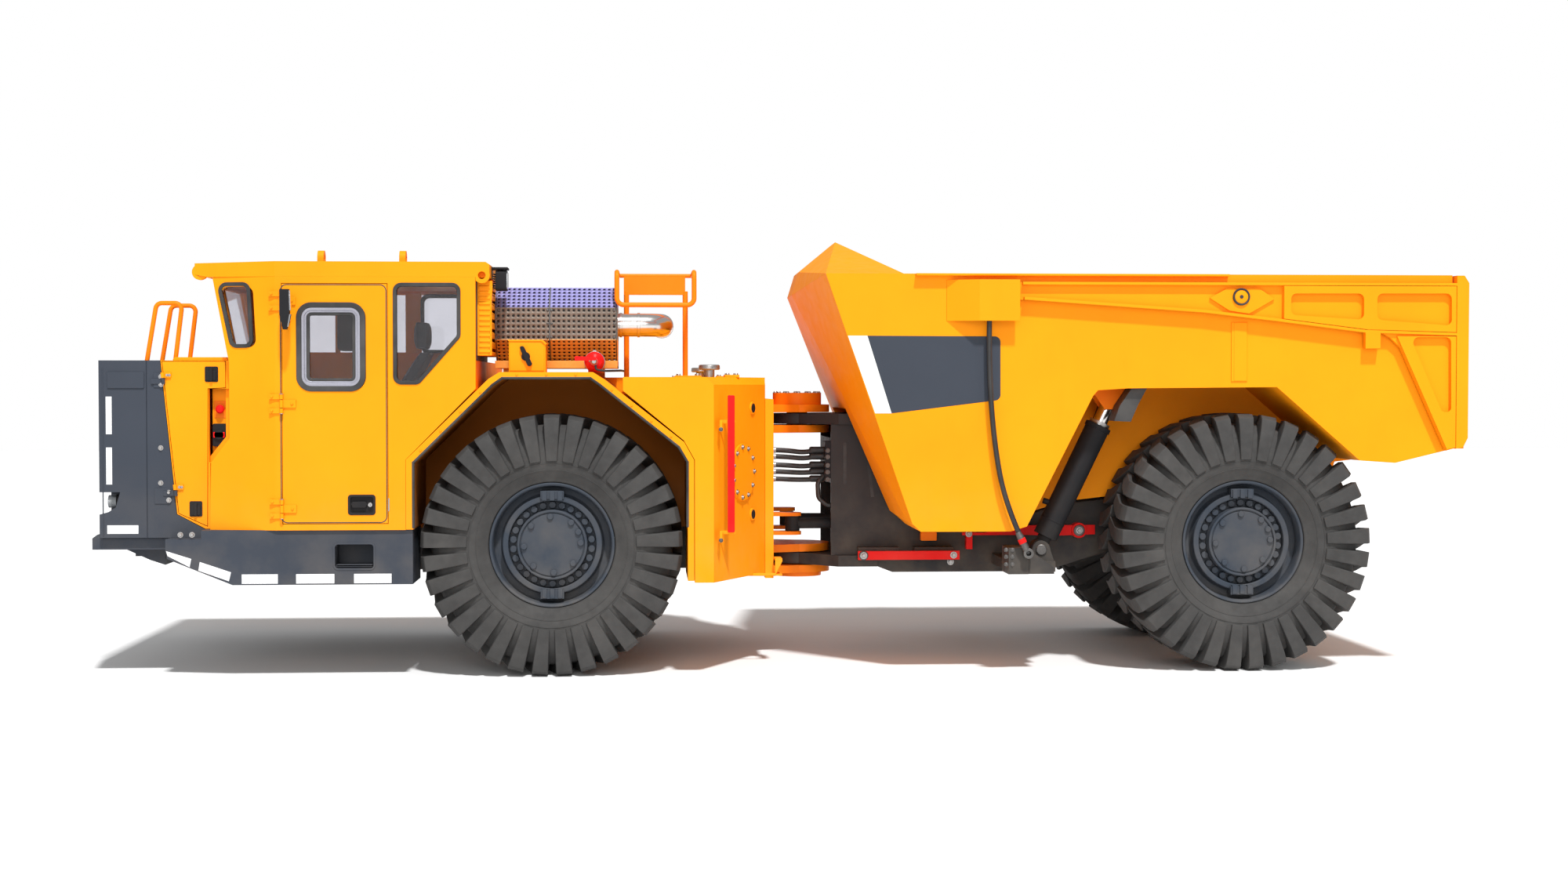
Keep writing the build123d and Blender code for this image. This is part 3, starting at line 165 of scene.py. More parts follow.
class Shape:
    """Collects solids given in millimetres and turns them into one piece of the truck."""

    def __init__(self):
        self.mesh = bmesh.new()

    def faces(self, points, loops):
        made = [self.mesh.verts.new(Vector(p) * MM) for p in points]
        return [self.mesh.faces.new([made[i] for i in loop]) for loop in loops]

    def prism(self, outline, along, axis="y"):
        """An outline between two planes: X-Z along y, X-Y along z, Y-Z along x."""
        low, high = sorted(along)
        place = PLACES[axis]
        count = len(outline)
        points = [place(u, v, low) for u, v in outline] + [place(u, v, high) for u, v in outline]
        loops = [tuple(range(count)), tuple(reversed(range(count, 2 * count)))]
        loops += [(i, (i + 1) % count, count + (i + 1) % count, count + i) for i in range(count)]
        self.faces(points, loops)
        return self

    def frame(self, outer, inner, along, axis="y", lean=lambda u: 0.0):
        """A ring between two outlines that have the same number of points; it may lean along its axis."""
        low, high = sorted(along)
        n = len(outer)

        def place(u, v, w):
            return PLACES[axis](u, v, w + lean(u))
        points = [place(u, v, w) for w in (low, high) for ring in (outer, inner) for u, v in ring]
        loops = []
        for i in range(n):
            j = (i + 1) % n
            loops += [(i, j, n + j, n + i), (2 * n + j, 2 * n + i, 3 * n + i, 3 * n + j),
                      (i, 2 * n + i, 2 * n + j, j), (n + j, 3 * n + j, 3 * n + i, n + i)]
        self.faces(points, loops)
        return self

    def block(self, x, y, z):
        return self.prism(box_outline(x, z), y)

    def rod(self, start, end, radius, sides=20, end_radius=None):
        """A round bar, or a cone where the end radius differs."""
        start, end = Vector(start), Vector(end)
        turn = (end - start).to_track_quat("Z", "Y")
        rings = []
        for centre, size in ((start, radius), (end, radius if end_radius is None else end_radius)):
            rings.append([centre + turn @ Vector((size * math.cos(a), size * math.sin(a), 0))
                          for a in circle(sides)])
        loops = [tuple(reversed(range(sides))), tuple(range(sides, 2 * sides))]
        loops += [(i, (i + 1) % sides, sides + (i + 1) % sides, sides + i) for i in range(sides)]
        self.faces(rings[0] + rings[1], loops)
        return self

    def turned(self, profile, centre=(0, 0, 0), axis="y", sides=64):
        """A closed (radius, along) profile turned about an axis through a point."""
        rings = []
        for a in circle(sides):
            for r, w in profile:
                u, v = r * math.sin(a), r * math.cos(a)
                rings.append(Vector(centre) + Vector(PLACES[axis](u, v, w)))
        n = len(profile)
        loops = []
        for k in range(sides):
            other = (k + 1) % sides
            loops += [(k * n + i, k * n + (i + 1) % n, other * n + (i + 1) % n, other * n + i)
                      for i in range(n)]
        self.faces(rings, loops)
        return self

    def tube(self, points, radius, bend=0, sides=12, steps=6):
        """A round bar along straight runs, its corners rounded by a bend radius."""
        path = [Vector(points[0])]
        for before, here, after in zip(points, points[1:], points[2:]):
            if not bend:
                path.append(Vector(here))
                continue
            here, a, b = Vector(here), Vector(before) - Vector(here), Vector(after) - Vector(here)
            half = a.angle(b) / 2
            reach = min(bend / math.tan(half) if half > 0.01 else 0, a.length * 0.49, b.length * 0.49)
            start, end = here + a.normalized() * reach, here + b.normalized() * reach
            for k in range(steps + 1):
                t = k / steps
                path.append(start.lerp(here, t).lerp(here.lerp(end, t), t))
        path.append(Vector(points[-1]))
        clean = [path[0]]
        for p in path[1:]:
            if (p - clean[-1]).length > 0.5:
                clean.append(p)
        rings, side = [], None
        for i, p in enumerate(clean):
            ahead = (clean[min(i + 1, len(clean) - 1)] - clean[max(i - 1, 0)]).normalized()
            if side is None:
                side = ahead.orthogonal().normalized()
            side = (side - ahead * side.dot(ahead)).normalized()
            other = ahead.cross(side)
            rings += [p + (side * math.cos(a) + other * math.sin(a)) * radius for a in circle(sides)]
        loops = [tuple(reversed(range(sides))), tuple(range(len(rings) - sides, len(rings)))]
        for i in range(len(clean) - 1):
            loops += [(i * sides + k, i * sides + (k + 1) % sides, (i + 1) * sides + (k + 1) % sides,
                       (i + 1) * sides + k) for k in range(sides)]
        self.faces(rings, loops)
        return self

    def mirrored(self):
        """Adds the same solids on the other side of the truck."""
        copies = {v: self.mesh.verts.new((v.co.x, -v.co.y, v.co.z)) for v in list(self.mesh.verts)}
        for face in list(self.mesh.faces):
            self.mesh.faces.new([copies[v] for v in reversed(face.verts)])
        return self

    def to_mesh(self, name):
        bmesh.ops.remove_doubles(self.mesh, verts=self.mesh.verts, dist=1e-6)
        bmesh.ops.recalc_face_normals(self.mesh, faces=self.mesh.faces)
        mesh = bpy.data.meshes.new(name)
        self.mesh.to_mesh(mesh)
        self.mesh.free()
        return mesh

    def piece(self, name, finish, body, bevel=2.0, segments=2, smooth=35):
        """The finished object, riding on its body."""
        return finished(add_object(name, self.to_mesh(name)), finish, body, bevel, segments, smooth)


def add_object(name, mesh):
    made = bpy.data.objects.new(name, mesh)
    bpy.context.scene.collection.objects.link(made)
    return made


def finished(made, finish, body, bevel=0.0, segments=2, smooth=35):
    """Material, rounded edges, shading, and the body it rides on, if any."""
    made.data.materials.clear()
    made.data.materials.append(FINISHES[finish])
    if bevel:
        edges = made.modifiers.new("Rounded edges", "BEVEL")
        edges.width, edges.segments = bevel * MM, segments
        edges.limit_method, edges.angle_limit = "ANGLE", math.radians(BEVEL_FROM)
        edges.harden_normals = False
        edges.use_clamp_overlap = True
    for face in made.data.polygons:
        face.use_smooth = True
    made.data.set_sharp_from_angle(angle=math.radians(smooth))
    if body:
        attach(made, body)
    return made


# ------------------------------------------------------------------ finishes
FINISHES = {}
SLOTS = {"body yellow": "body_yellow", "frame grey": "frame_grey", "tower grey": "tower_grey",
         "hinge orange": "hinge_orange", "hub grey": "hub_grey", "signal red": "signal_red",
         "black paint": "black_paint", "tyre": "tyre", "rubber": "rubber", "glass": "glass", "steel": "steel",
         "chrome": "chrome", "seat cloth": "seat_fabric", "cab plastic": "cab_plastic",
         "cast iron": "cast_iron", "lamp lens": "lamp_lens", "reflector": "lamp_lens",
         "white stripe": "body_yellow", "shield steel": "steel", "mirror": "chrome", "hose": "rubber",
         "window frame": "steel", "door yellow": "body_yellow", "painted shade brown": "body_yellow"}
CAD_FINISH = {slot: finish for finish, slot in reversed(list(SLOTS.items()))}


def shade(colour, share):
    """A colour made darker or lighter by a share."""
    return tuple(min(part * share, 1.0) for part in colour[:3]) + (1.0,)


def wired(tree, kind, inputs=(), **settings):
    """A node with its settings, its inputs linked or set."""
    node = tree.nodes.new(kind)
    for name, value in settings.items():
        setattr(node, name, value)
    for place, value in inputs:
        if isinstance(value, bpy.types.NodeSocket):
            tree.links.new(value, node.inputs[place])
        else:
            node.inputs[place].default_value = value
    return node


class Recipe:
    """A finish built node by node round one shader, in Object coordinates."""

    def __init__(self, name):
        self.material = bpy.data.materials.new(name)
        self.material.use_nodes = True
        self.tree = self.material.node_tree
        self.shader = self.tree.nodes["Principled BSDF"]
        self.where = self.add("ShaderNodeTexCoord").outputs["Object"]

    def add(self, kind, inputs=(), **settings):
        return wired(self.tree, kind, inputs, **settings)

    def fix(self, **values):
        """Plain numbers on the shader's own sockets."""
        for name, value in values.items():
            self.shader.inputs[name.replace("_", " ").title().replace("Ior", "IOR")].default_value = value
        return self

    def link(self, name, value):
        self.tree.links.new(value, self.shader.inputs[name])

    def noise(self, scale, detail=3.0, stretch=None, roughness=0.55):
        place = self.where
        if stretch:
            place = self.add("ShaderNodeMapping", [("Vector", place), ("Scale", stretch)]).outputs[0]
        return self.add("ShaderNodeTexNoise", [("Vector", place), ("Scale", scale), ("Detail", detail),
                                               ("Roughness", roughness)]).outputs["Fac"]

    def ramp(self, value, start, end, low=0.0, high=1.0):
        return self.add("ShaderNodeMapRange", [("Value", value), ("From Min", start), ("From Max", end),
                                               ("To Min", low), ("To Max", high)]).outputs["Result"]

    def times(self, a, b):
        return self.add("ShaderNodeMath", [(0, a), (1, b)], operation="MULTIPLY").outputs[0]

    def mix(self, share, a, b):
        return self.add("ShaderNodeMix", [(0, share), (6, a), (7, b)], data_type="RGBA").outputs[2]

    def level(self, axis=2):
        return self.add("ShaderNodeSeparateXYZ", [(0, self.where)]).outputs[axis]

    def round_edges(self, radius):
        """The surface direction with its edges rounded, and how much of an edge a point is."""
        soft = self.add("ShaderNodeBevel", [("Radius", radius)], samples=4).outputs[0]
        true = self.add("ShaderNodeNewGeometry").outputs["Normal"]
        match = self.add("ShaderNodeVectorMath", [(0, soft), (1, true)], operation="DOT_PRODUCT")
        return soft, self.ramp(match.outputs["Value"], 0.995, 0.86)

    def bump(self, height, distance, strength=1.0, normal=None):
        inputs = [("Height", height), ("Distance", distance), ("Strength", strength)]
        if normal is not None:
            inputs.append(("Normal", normal))
        return self.add("ShaderNodeBump", inputs).outputs[0]


def paint(name, colour, roughness=0.46, dust=0.10, wear=0.16, edge=0.004, black_beyond=None):
    """Sprayed enamel: slow drift of tone, orange peel, dust towards the ground and rubbed edges."""
    r = Recipe(name)
    tone = r.mix(r.ramp(r.noise(0.9, 4), 0.3, 0.7), shade(colour, 0.93), shade(colour, 1.05))
    streak = r.noise(5.0, 5, stretch=(1.0, 1.0, 0.16))
    tone = r.mix(r.ramp(streak, 0.52, 0.78, 0.0, 0.10), tone, shade(colour, 0.70))
    low = r.times(r.ramp(r.level(), 1.7, 0.5), r.ramp(r.noise(3.4, 6), 0.35, 0.75))
    tone = r.mix(r.times(low, dust), tone, (0.42, 0.34, 0.24, 1.0))
    soft, rim = r.round_edges(edge)
    tone = r.mix(r.times(rim, r.ramp(r.noise(26, 4), 0.35, 0.65, 0.0, wear)), tone, shade(colour, 1.5))
    if black_beyond:
        beyond = r.ramp(r.level(1), black_beyond + 0.002, black_beyond - 0.002)
        tone = r.mix(beyond, tone, (0.018, 0.018, 0.020, 1.0))
    r.link("Base Color", tone)
    r.link("Roughness", r.ramp(r.noise(11, 4), 0.3, 0.7, roughness - 0.05, roughness + 0.09))
    r.link("Normal", r.bump(r.noise(230, 2), 0.0006, 0.35, soft))
    r.fix(specular_ior_level=0.08, coat_weight=0.0)
    return r.material


def heat_shield(name, colour, top, low):
    """Perforated sheet, violet on its upward facets as a painted cool reflection and golden brown on its
    lower facets as painted warm reflected light.
    """
    r = Recipe(name)
    grain = r.ramp(r.noise(6, 5), 0.3, 0.75)
    tone = r.mix(grain, colour, shade(colour, 0.72))
    # Painted warm reflection: the lower, downward facing facets turn golden brown.
    tone = r.mix(r.ramp(r.level(), 2.664, 2.682), low, tone)
    # Painted cool reflection: the upward facing facets turn violet.
    tone = r.mix(r.ramp(r.level(), 2.928, 2.934), tone, top)
    r.link("Base Color", tone)
    r.link("Roughness", r.ramp(r.noise(40, 4, stretch=(1, 0.1, 1)), 0.3, 0.7, 0.5, 0.68))
    r.link("Normal", r.bump(r.noise(90, 4), 0.0004, 0.3))
    r.fix(metallic=0.55)
    return r.material


def metal(name, colour, roughness, grain=(1, 1, 1), edge=0.0, tarnish=0.12, blotch=3.0):
    """Bare metal with its grain and a little tarnish."""
    r = Recipe(name)
    tone = r.mix(r.ramp(r.noise(blotch, 5), 0.4, 0.75, 0.0, 1.0), colour, shade(colour, 1 - tarnish))
    r.link("Base Color", tone)
    fine = r.noise(95, 4, stretch=grain)
    r.link("Roughness", r.ramp(fine, 0.3, 0.7, roughness * 0.75, roughness * 1.3))
    normal = r.round_edges(edge)[0] if edge else None
    r.link("Normal", r.bump(fine, 0.0004, 0.3, normal))
    r.fix(metallic=1.0)
    return r.material


def elastic(name, colour, roughness, grain=160.0, depth=0.0006, dust=0.25):
    """Rubber and moulded plastic: a fine grain and dry dust in patches."""
    r = Recipe(name)
    tone = r.mix(r.ramp(r.noise(7, 5), 0.3, 0.7), shade(colour, 0.82), shade(colour, 1.2))
    patch = r.times(r.ramp(r.noise(2.3, 6), 0.42, 0.72), dust)
    r.link("Base Color", r.mix(patch, tone, (0.20, 0.185, 0.165, 1.0)))
    r.link("Roughness", r.ramp(r.noise(18, 4), 0.3, 0.7, roughness - 0.08, roughness + 0.08))
    r.link("Normal", r.bump(r.noise(grain, 3), depth, 0.5))
    return r.material


def glazing(name):
    """Tinted safety glass with a faint film of dust."""
    r = Recipe(name)
    film = r.ramp(r.noise(3.0, 5), 0.35, 0.8, 0.0, 1.0)
    r.link("Base Color", r.mix(film, (0.82, 0.82, 0.86, 1), (0.75, 0.75, 0.79, 1)))
    r.link("Roughness", r.ramp(film, 0.0, 1.0, 0.01, 0.06))
    r.fix(transmission_weight=1.0, ior=1.48, coat_weight=0.4, coat_roughness=0.02)
    return r.material


def cloth(name, colour):
    """Woven seat cover: warp and weft as fine crossed ridges, with a soft sheen."""
    r = Recipe(name)
    waves = [r.add("ShaderNodeTexWave", [("Vector", r.where), ("Scale", 150.0), ("Distortion", 0.6)],
                   bands_direction=axis).outputs["Fac"] for axis in "YZ"]
    weave = r.times(waves[0], waves[1])
    tone = r.mix(weave, shade(colour, 0.7), shade(colour, 1.3))
    r.link("Base Color", r.mix(r.ramp(r.noise(9, 4), 0.4, 0.7, 0.0, 0.35), tone, shade(colour, 0.6)))
    r.link("Normal", r.bump(weave, 0.0012, 0.6))
    r.fix(roughness=0.85, sheen_weight=0.35, sheen_roughness=0.5)
    return r.material


def lens(name, colour, pitch, roughness=0.12):
    """Moulded lens or reflector with small prisms behind a clear face."""
    r = Recipe(name)
    cells = r.add("ShaderNodeTexVoronoi", [("Vector", r.where), ("Scale", pitch)]).outputs["Distance"]
    r.link("Base Color", r.mix(r.ramp(cells, 0.1, 0.6), colour, shade(colour, 0.78)))
    r.link("Normal", r.bump(cells, 0.001, 0.5))
    r.fix(roughness=roughness, coat_weight=0.8, coat_roughness=0.03)
    return r.material


def make_finishes(colours):
    """Every finish of the truck, by its plain name."""
    FINISHES.update({
        "body yellow": paint("Body yellow enamel", colours.body),
        "door yellow": paint("Door enamel with black mirror", colours.body, black_beyond=-1.745),
        # Brown standing for the body yellow in shadow: painted shade of the wheel arches, with a little dust
        # on top.
        "painted shade brown": paint("Body yellow in painted shade", (0.34, 0.100, 0.012, 1.0), 0.75, dust=0.35),
        "frame grey": paint("Blue-grey enamel", colours.frame, dust=0.16, wear=0.25),
        "tower grey": paint("Dark grey enamel", colours.tower, 0.42, dust=0.22, wear=0.35),
        "hinge orange": paint("Orange enamel", colours.hinge, 0.34),
        "hub grey": paint("Hub grey enamel", colours.hub, 0.42, dust=0.22, wear=0.3),
        "signal red": paint("Signal red enamel", colours.signal, 0.30, wear=0.1),
        "black paint": paint("Satin black paint", (0.018, 0.018, 0.02, 1), 0.45, wear=0.4, edge=0.002),
        "white stripe": paint("White marking paint", (0.78, 0.78, 0.76, 1), 0.35, edge=0.001),
        "tyre": elastic("Tyre rubber", colours.tyre, 0.82, 120, 0.0012, 0.10),
        "rubber": elastic("Black rubber", (0.016, 0.016, 0.017, 1), 0.6),
        "hose": elastic("Hose sleeve", (0.012, 0.012, 0.013, 1), 0.5, 420, 0.0012, 0.12),
        "cab plastic": elastic("Dark cab plastic", (0.022, 0.022, 0.025, 1), 0.55, 520, 0.0005, 0.1),
        "seat cloth": cloth("Woven seat cover", (0.05, 0.055, 0.065, 1)),
        "glass": glazing("Tinted safety glass"),
        "steel": metal("Zinc-plated steel", (0.40, 0.39, 0.38, 1), 0.42, edge=0.001),
        # The shield's violet and golden brown are painted reflections on its upward and lower facets.
        "shield steel": heat_shield("Shield steel with painted reflections", (0.235, 0.19, 0.155, 1),
                                    (0.25, 0.235, 0.47, 1), (0.74, 0.34, 0.06, 1)),
        "window frame": metal("Anodised window frame", (0.34, 0.34, 0.39, 1), 0.5, edge=0.001),
        "chrome": metal("Hard chrome", (0.70, 0.68, 0.66, 1), 0.2, (0.2, 1, 1), tarnish=0.05),
        "mirror": metal("Silvered mirror", (0.92, 0.93, 0.94, 1), 0.03, tarnish=0.02),
        "cast iron": metal("Dark cast iron", (0.16, 0.155, 0.15, 1), 0.55, edge=0.004, tarnish=0.3,
                           blotch=9.0),
        "lamp lens": lens("Lamp lens", (0.55, 0.58, 0.60, 1), 75.0),
        "reflector": lens("White reflective strip", (0.92, 0.93, 0.94, 1), 140.0, 0.25),
    })


# ------------------------------------------------------------------ rules that repeat a shape
def node_tree(name, inputs):
    """An empty geometry tree with its named inputs."""
    tree = bpy.data.node_groups.new(name, "GeometryNodeTree")
    tree.interface.new_socket("Geometry", in_out="OUTPUT", socket_type="NodeSocketGeometry")
    for label, kind in [("Geometry", "Geometry")] + inputs + [("Finish", "Material")]:
        tree.interface.new_socket(label, in_out="INPUT", socket_type="NodeSocket" + kind)
    return tree, tree.nodes.new("NodeGroupInput")


def closed_tree(tree, group, geometry):
    """Realize Instances and Set Material, which end every tree."""
    real = wired(tree, "GeometryNodeRealizeInstances", [(0, geometry)])
    done = wired(tree, "GeometryNodeSetMaterial", [("Geometry", real.outputs[0]),
                                                   ("Material", group.outputs["Finish"])])
    wired(tree, "NodeGroupOutput", [(0, done.outputs[0])])
    return tree


def math_node(tree, operation, a, b=0.0):
    return wired(tree, "ShaderNodeMath", [(0, a), (1, b)], operation=operation).outputs[0]


def fastener_tree():
    """A washer and a six-sided head on each point, standing along the point's facing."""
    tree, group = node_tree("Fasteners", [("Across", "Float"), ("Height", "Float"), ("Washer", "Float"),
                                          ("Sides", "Int")])
    out = group.outputs
    radius = math_node(tree, "MULTIPLY", out["Across"], HEAD_RADIUS)
    thick = math_node(tree, "MULTIPLY", out["Across"], 0.12)
    washer = wired(tree, "GeometryNodeMeshCylinder", [("Vertices", 16), ("Radius", out["Washer"]),
                                                      ("Depth", math_node(tree, "MULTIPLY", thick, 2.0))])
    body = math_node(tree, "MULTIPLY", out["Height"], 0.8)
    head = wired(tree, "GeometryNodeMeshCylinder", [("Vertices", out["Sides"]), ("Radius", radius),
                                                    ("Depth", body)])
    crown = wired(tree, "GeometryNodeMeshCone", [("Vertices", out["Sides"]), ("Radius Bottom", radius),
                                                 ("Radius Top", math_node(tree, "MULTIPLY", radius, 0.84)),
                                                 ("Depth", math_node(tree, "MULTIPLY", out["Height"], 0.2))])
    lift = wired(tree, "ShaderNodeCombineXYZ", [(2, math_node(tree, "MULTIPLY", body, 0.5))])
    raised = wired(tree, "GeometryNodeTransform", [(0, head.outputs["Mesh"]),
                                                   ("Translation", lift.outputs[0])])
    top = wired(tree, "ShaderNodeCombineXYZ", [(2, body)])
    capped = wired(tree, "GeometryNodeTransform", [(0, crown.outputs["Mesh"]),
                                                   ("Translation", top.outputs[0])])
    joined = tree.nodes.new("GeometryNodeJoinGeometry")
    for part in (capped.outputs[0], raised.outputs[0], washer.outputs["Mesh"]):
        tree.links.new(part, joined.inputs[0])
    facing = wired(tree, "GeometryNodeInputNamedAttribute", [("Name", "facing")], data_type="FLOAT_VECTOR")
    turn = wired(tree, "FunctionNodeAlignRotationToVector", [("Vector", facing.outputs["Attribute"])],
                 axis="Z")
    placed = wired(tree, "GeometryNodeInstanceOnPoints", [("Points", out["Geometry"]),
                                                          ("Instance", joined.outputs[0]),
                                                          ("Rotation", turn.outputs[0])])
    return closed_tree(tree, group, placed.outputs[0])


def ring_tree():
    """Copies of a shape turned about the Y axis, with a first angle."""
    tree, group = node_tree("Ring", [("Count", "Int"), ("Start", "Float")])
    out = group.outputs
    points = wired(tree, "GeometryNodePoints", [("Count", out["Count"])])
    index = wired(tree, "GeometryNodeInputIndex")
    step = math_node(tree, "DIVIDE", 2 * math.pi, out["Count"])
    angle = math_node(tree, "ADD", math_node(tree, "MULTIPLY", index.outputs[0], step), out["Start"])
    turn = wired(tree, "ShaderNodeCombineXYZ", [(1, angle)])
    placed = wired(tree, "GeometryNodeInstanceOnPoints", [("Points", points.outputs[0]),
                                                          ("Instance", out["Geometry"]),
                                                          ("Rotation", turn.outputs[0])])
    return closed_tree(tree, group, placed.outputs[0])


def grid_tree():
    """Copies of a shape in rows: Count by Rows, a step along each."""
    tree, group = node_tree("Grid", [("Count", "Int"), ("Rows", "Int"), ("Step", "Vector"),
                                     ("Row Step", "Vector")])
    out = group.outputs
    count = math_node(tree, "MULTIPLY", out["Count"], out["Rows"])
    points = wired(tree, "GeometryNodePoints", [("Count", count)])
    index = wired(tree, "GeometryNodeInputIndex").outputs[0]
    share = math_node(tree, "DIVIDE", index, out["Count"])
    row = math_node(tree, "FLOOR", math_node(tree, "ADD", share, 0.0001))
    column = math_node(tree, "SUBTRACT", index, math_node(tree, "MULTIPLY", row, out["Count"]))
    steps = [wired(tree, "ShaderNodeVectorMath", [(0, out[label]), ("Scale", share)],
                   operation="SCALE").outputs[0]
             for label, share in (("Step", column), ("Row Step", row))]
    place = wired(tree, "ShaderNodeVectorMath", [(0, steps[0]), (1, steps[1])], operation="ADD")
    spread = wired(tree, "GeometryNodeSetPosition", [("Geometry", points.outputs[0]),
                                                     ("Position", place.outputs[0])])
    placed = wired(tree, "GeometryNodeInstanceOnPoints", [("Points", spread.outputs[0]),
                                                          ("Instance", out["Geometry"])])
    return closed_tree(tree, group, placed.outputs[0])


TREES = {}


def baked(name, rule, mesh, finish, **values):
    """The mesh that a rule makes of a starting mesh, as a plain mesh."""
    makers = {"fasteners": fastener_tree, "ring": ring_tree, "grid": grid_tree}
    if rule not in TREES:
        TREES[rule] = makers[rule]()
    holder = add_object(name + "_rule", mesh)
    modifier = holder.modifiers.new("Rule", "NODES")
    modifier.node_group = TREES[rule]
    values["Finish"] = FINISHES[finish]
    for item in TREES[rule].interface.items_tree:
        label = item.name.replace(" ", "_")
        if item.in_out == "INPUT" and label in values:
            modifier[item.identifier] = values[label]
    ready = holder.evaluated_get(bpy.context.evaluated_depsgraph_get())
    result = bpy.data.meshes.new_from_object(ready)
    holder.modifiers.remove(modifier)
    bpy.data.objects.remove(holder)
    result.name = name
    if not result.polygons:
        raise RuntimeError(name + " has no faces")
    return result


def fasteners(name, places, across, body, finish="steel", height=None, washer=None, sides=6,
              both_sides=False):
    """Bolt heads at places: each a point in millimetres and the direction its head faces."""
    places = list(places)
    if both_sides:
        places += [((x, -y, z), (dx, -dy, dz)) for (x, y, z), (dx, dy, dz) in places]
    mesh = bpy.data.meshes.new(name)
    mesh.from_pydata([Vector(p) * MM for p, _ in places], [], [])
    facing = mesh.attributes.new("facing", "FLOAT_VECTOR", "POINT")
    facing.data.foreach_set("vector", [part for _, way in places for part in Vector(way).normalized()])
    made = baked(name, "fasteners", mesh, finish, Across=across * MM, Height=(height or across * 0.6) * MM,
                 Washer=(washer or across * 0.85) * MM, Sides=sides)
    return finished(add_object(name, made), finish, body, 0.0, smooth=30)


def joined(name, meshes, weld=0.0):
    """Several meshes as one, with the points closer than a weld distance made one."""
    whole = bmesh.new()
    for mesh in meshes:
        whole.from_mesh(mesh)
        bpy.data.meshes.remove(mesh)
    if weld:
        bmesh.ops.remove_doubles(whole, verts=whole.verts, dist=weld)
        bmesh.ops.recalc_face_normals(whole, faces=whole.faces)
    result = bpy.data.meshes.new(name)
    whole.to_mesh(result)
    whole.free()
    return result


def outward(*places):
    """Places on the left side, each with the direction its bolt head faces."""
    return [(place, OUTWARD) for place in places]


# ------------------------------------------------------------------ settings
def colour_setting(name, text, value):
    return bpy.props.FloatVectorProperty(name=name, description=text, default=value, size=4, min=0.0, max=1.0,
                                         subtype="COLOR")


def size_setting(name, text, value, least=0.0):
    return bpy.props.FloatProperty(name=name, description=text, default=value, min=least, unit="LENGTH",
                                   subtype="DISTANCE", precision=4)


class PaintSettings(bpy.types.PropertyGroup):
    """Colours of the enamel and the rubber."""
    body: colour_setting("Body", "Yellow enamel of the cab, tanks and dump body", (0.98, 0.318, 0.005, 1.0))
    frame: colour_setting("Frame", "Blue-grey enamel of the front box and sills", (0.048, 0.056, 0.072, 1.0))
    tower: colour_setting("Tower", "Dark grey enamel of the rear frame", (0.040, 0.039, 0.040, 1.0))
    hinge: colour_setting("Hinge", "Orange enamel of the articulation and rails", (0.94, 0.215, 0.006, 1.0))
    hub: colour_setting("Hub", "Grey enamel of the wheel hubs", (0.042, 0.052, 0.068, 1.0))
    signal: colour_setting("Signal", "Red of the safety parts", (0.72, 0.010, 0.010, 1.0))
    tyre: colour_setting("Tyre", "Rubber of the tyres", (0.036, 0.035, 0.034, 1.0))


class TyreSettings(bpy.types.PropertyGroup):
    """Tread of the tyres."""
    lugs: bpy.props.IntProperty(name="Lugs", description="Lugs on each side of a tyre", default=33, min=8,
                                max=60)
    chevron: bpy.props.FloatProperty(name="Chevron", description="How far a lug sweeps round at mid tread",
                                     default=0.10, min=0.0, max=0.3, unit="ROTATION")
    lug_bevel: size_setting("Lug edge", "Rounding of the lugs' edges", 0.007)
    hub_nuts: bpy.props.IntProperty(name="Hub nuts", description="Nuts in the ring round each hub",
                                    default=26, min=6, max=60)


class TrimSettings(bpy.types.PropertyGroup):
    """Sizes of the small trim."""
    bolt_across: size_setting("Bolt head", "Width across the flats of the panel bolts", 0.024)
    mesh_hole: size_setting("Shield hole", "Radius of the holes in the silencer shield", 0.0105)
    mesh_pitch: size_setting("Shield pitch", "Distance between the shield's holes", 0.041, 0.01)
    decal: size_setting("Marking", "Thickness of reflective strips and painted markings", 0.0015)


class StudioSettings(bpy.types.PropertyGroup):
    """Camera and lights."""
    focal_length: bpy.props.FloatProperty(name="Lens",
                                          description="Focal length of the camera, in millimetres",
                                          default=50.0, min=10.0, max=300.0)
    key_light: bpy.props.FloatProperty(name="Key light", description="Strength of the large key light",
                                       default=3.6, min=0.0, max=20.0)
    sky: bpy.props.FloatProperty(name="Sky", description="Strength of the white surroundings", default=0.42,
                                 min=0.0, max=5.0)


def trim():
    return bpy.context.scene.truck_trim


# ------------------------------------------------------------------ operators
class TruckOperator:
    bl_options = {"REGISTER", "UNDO"}


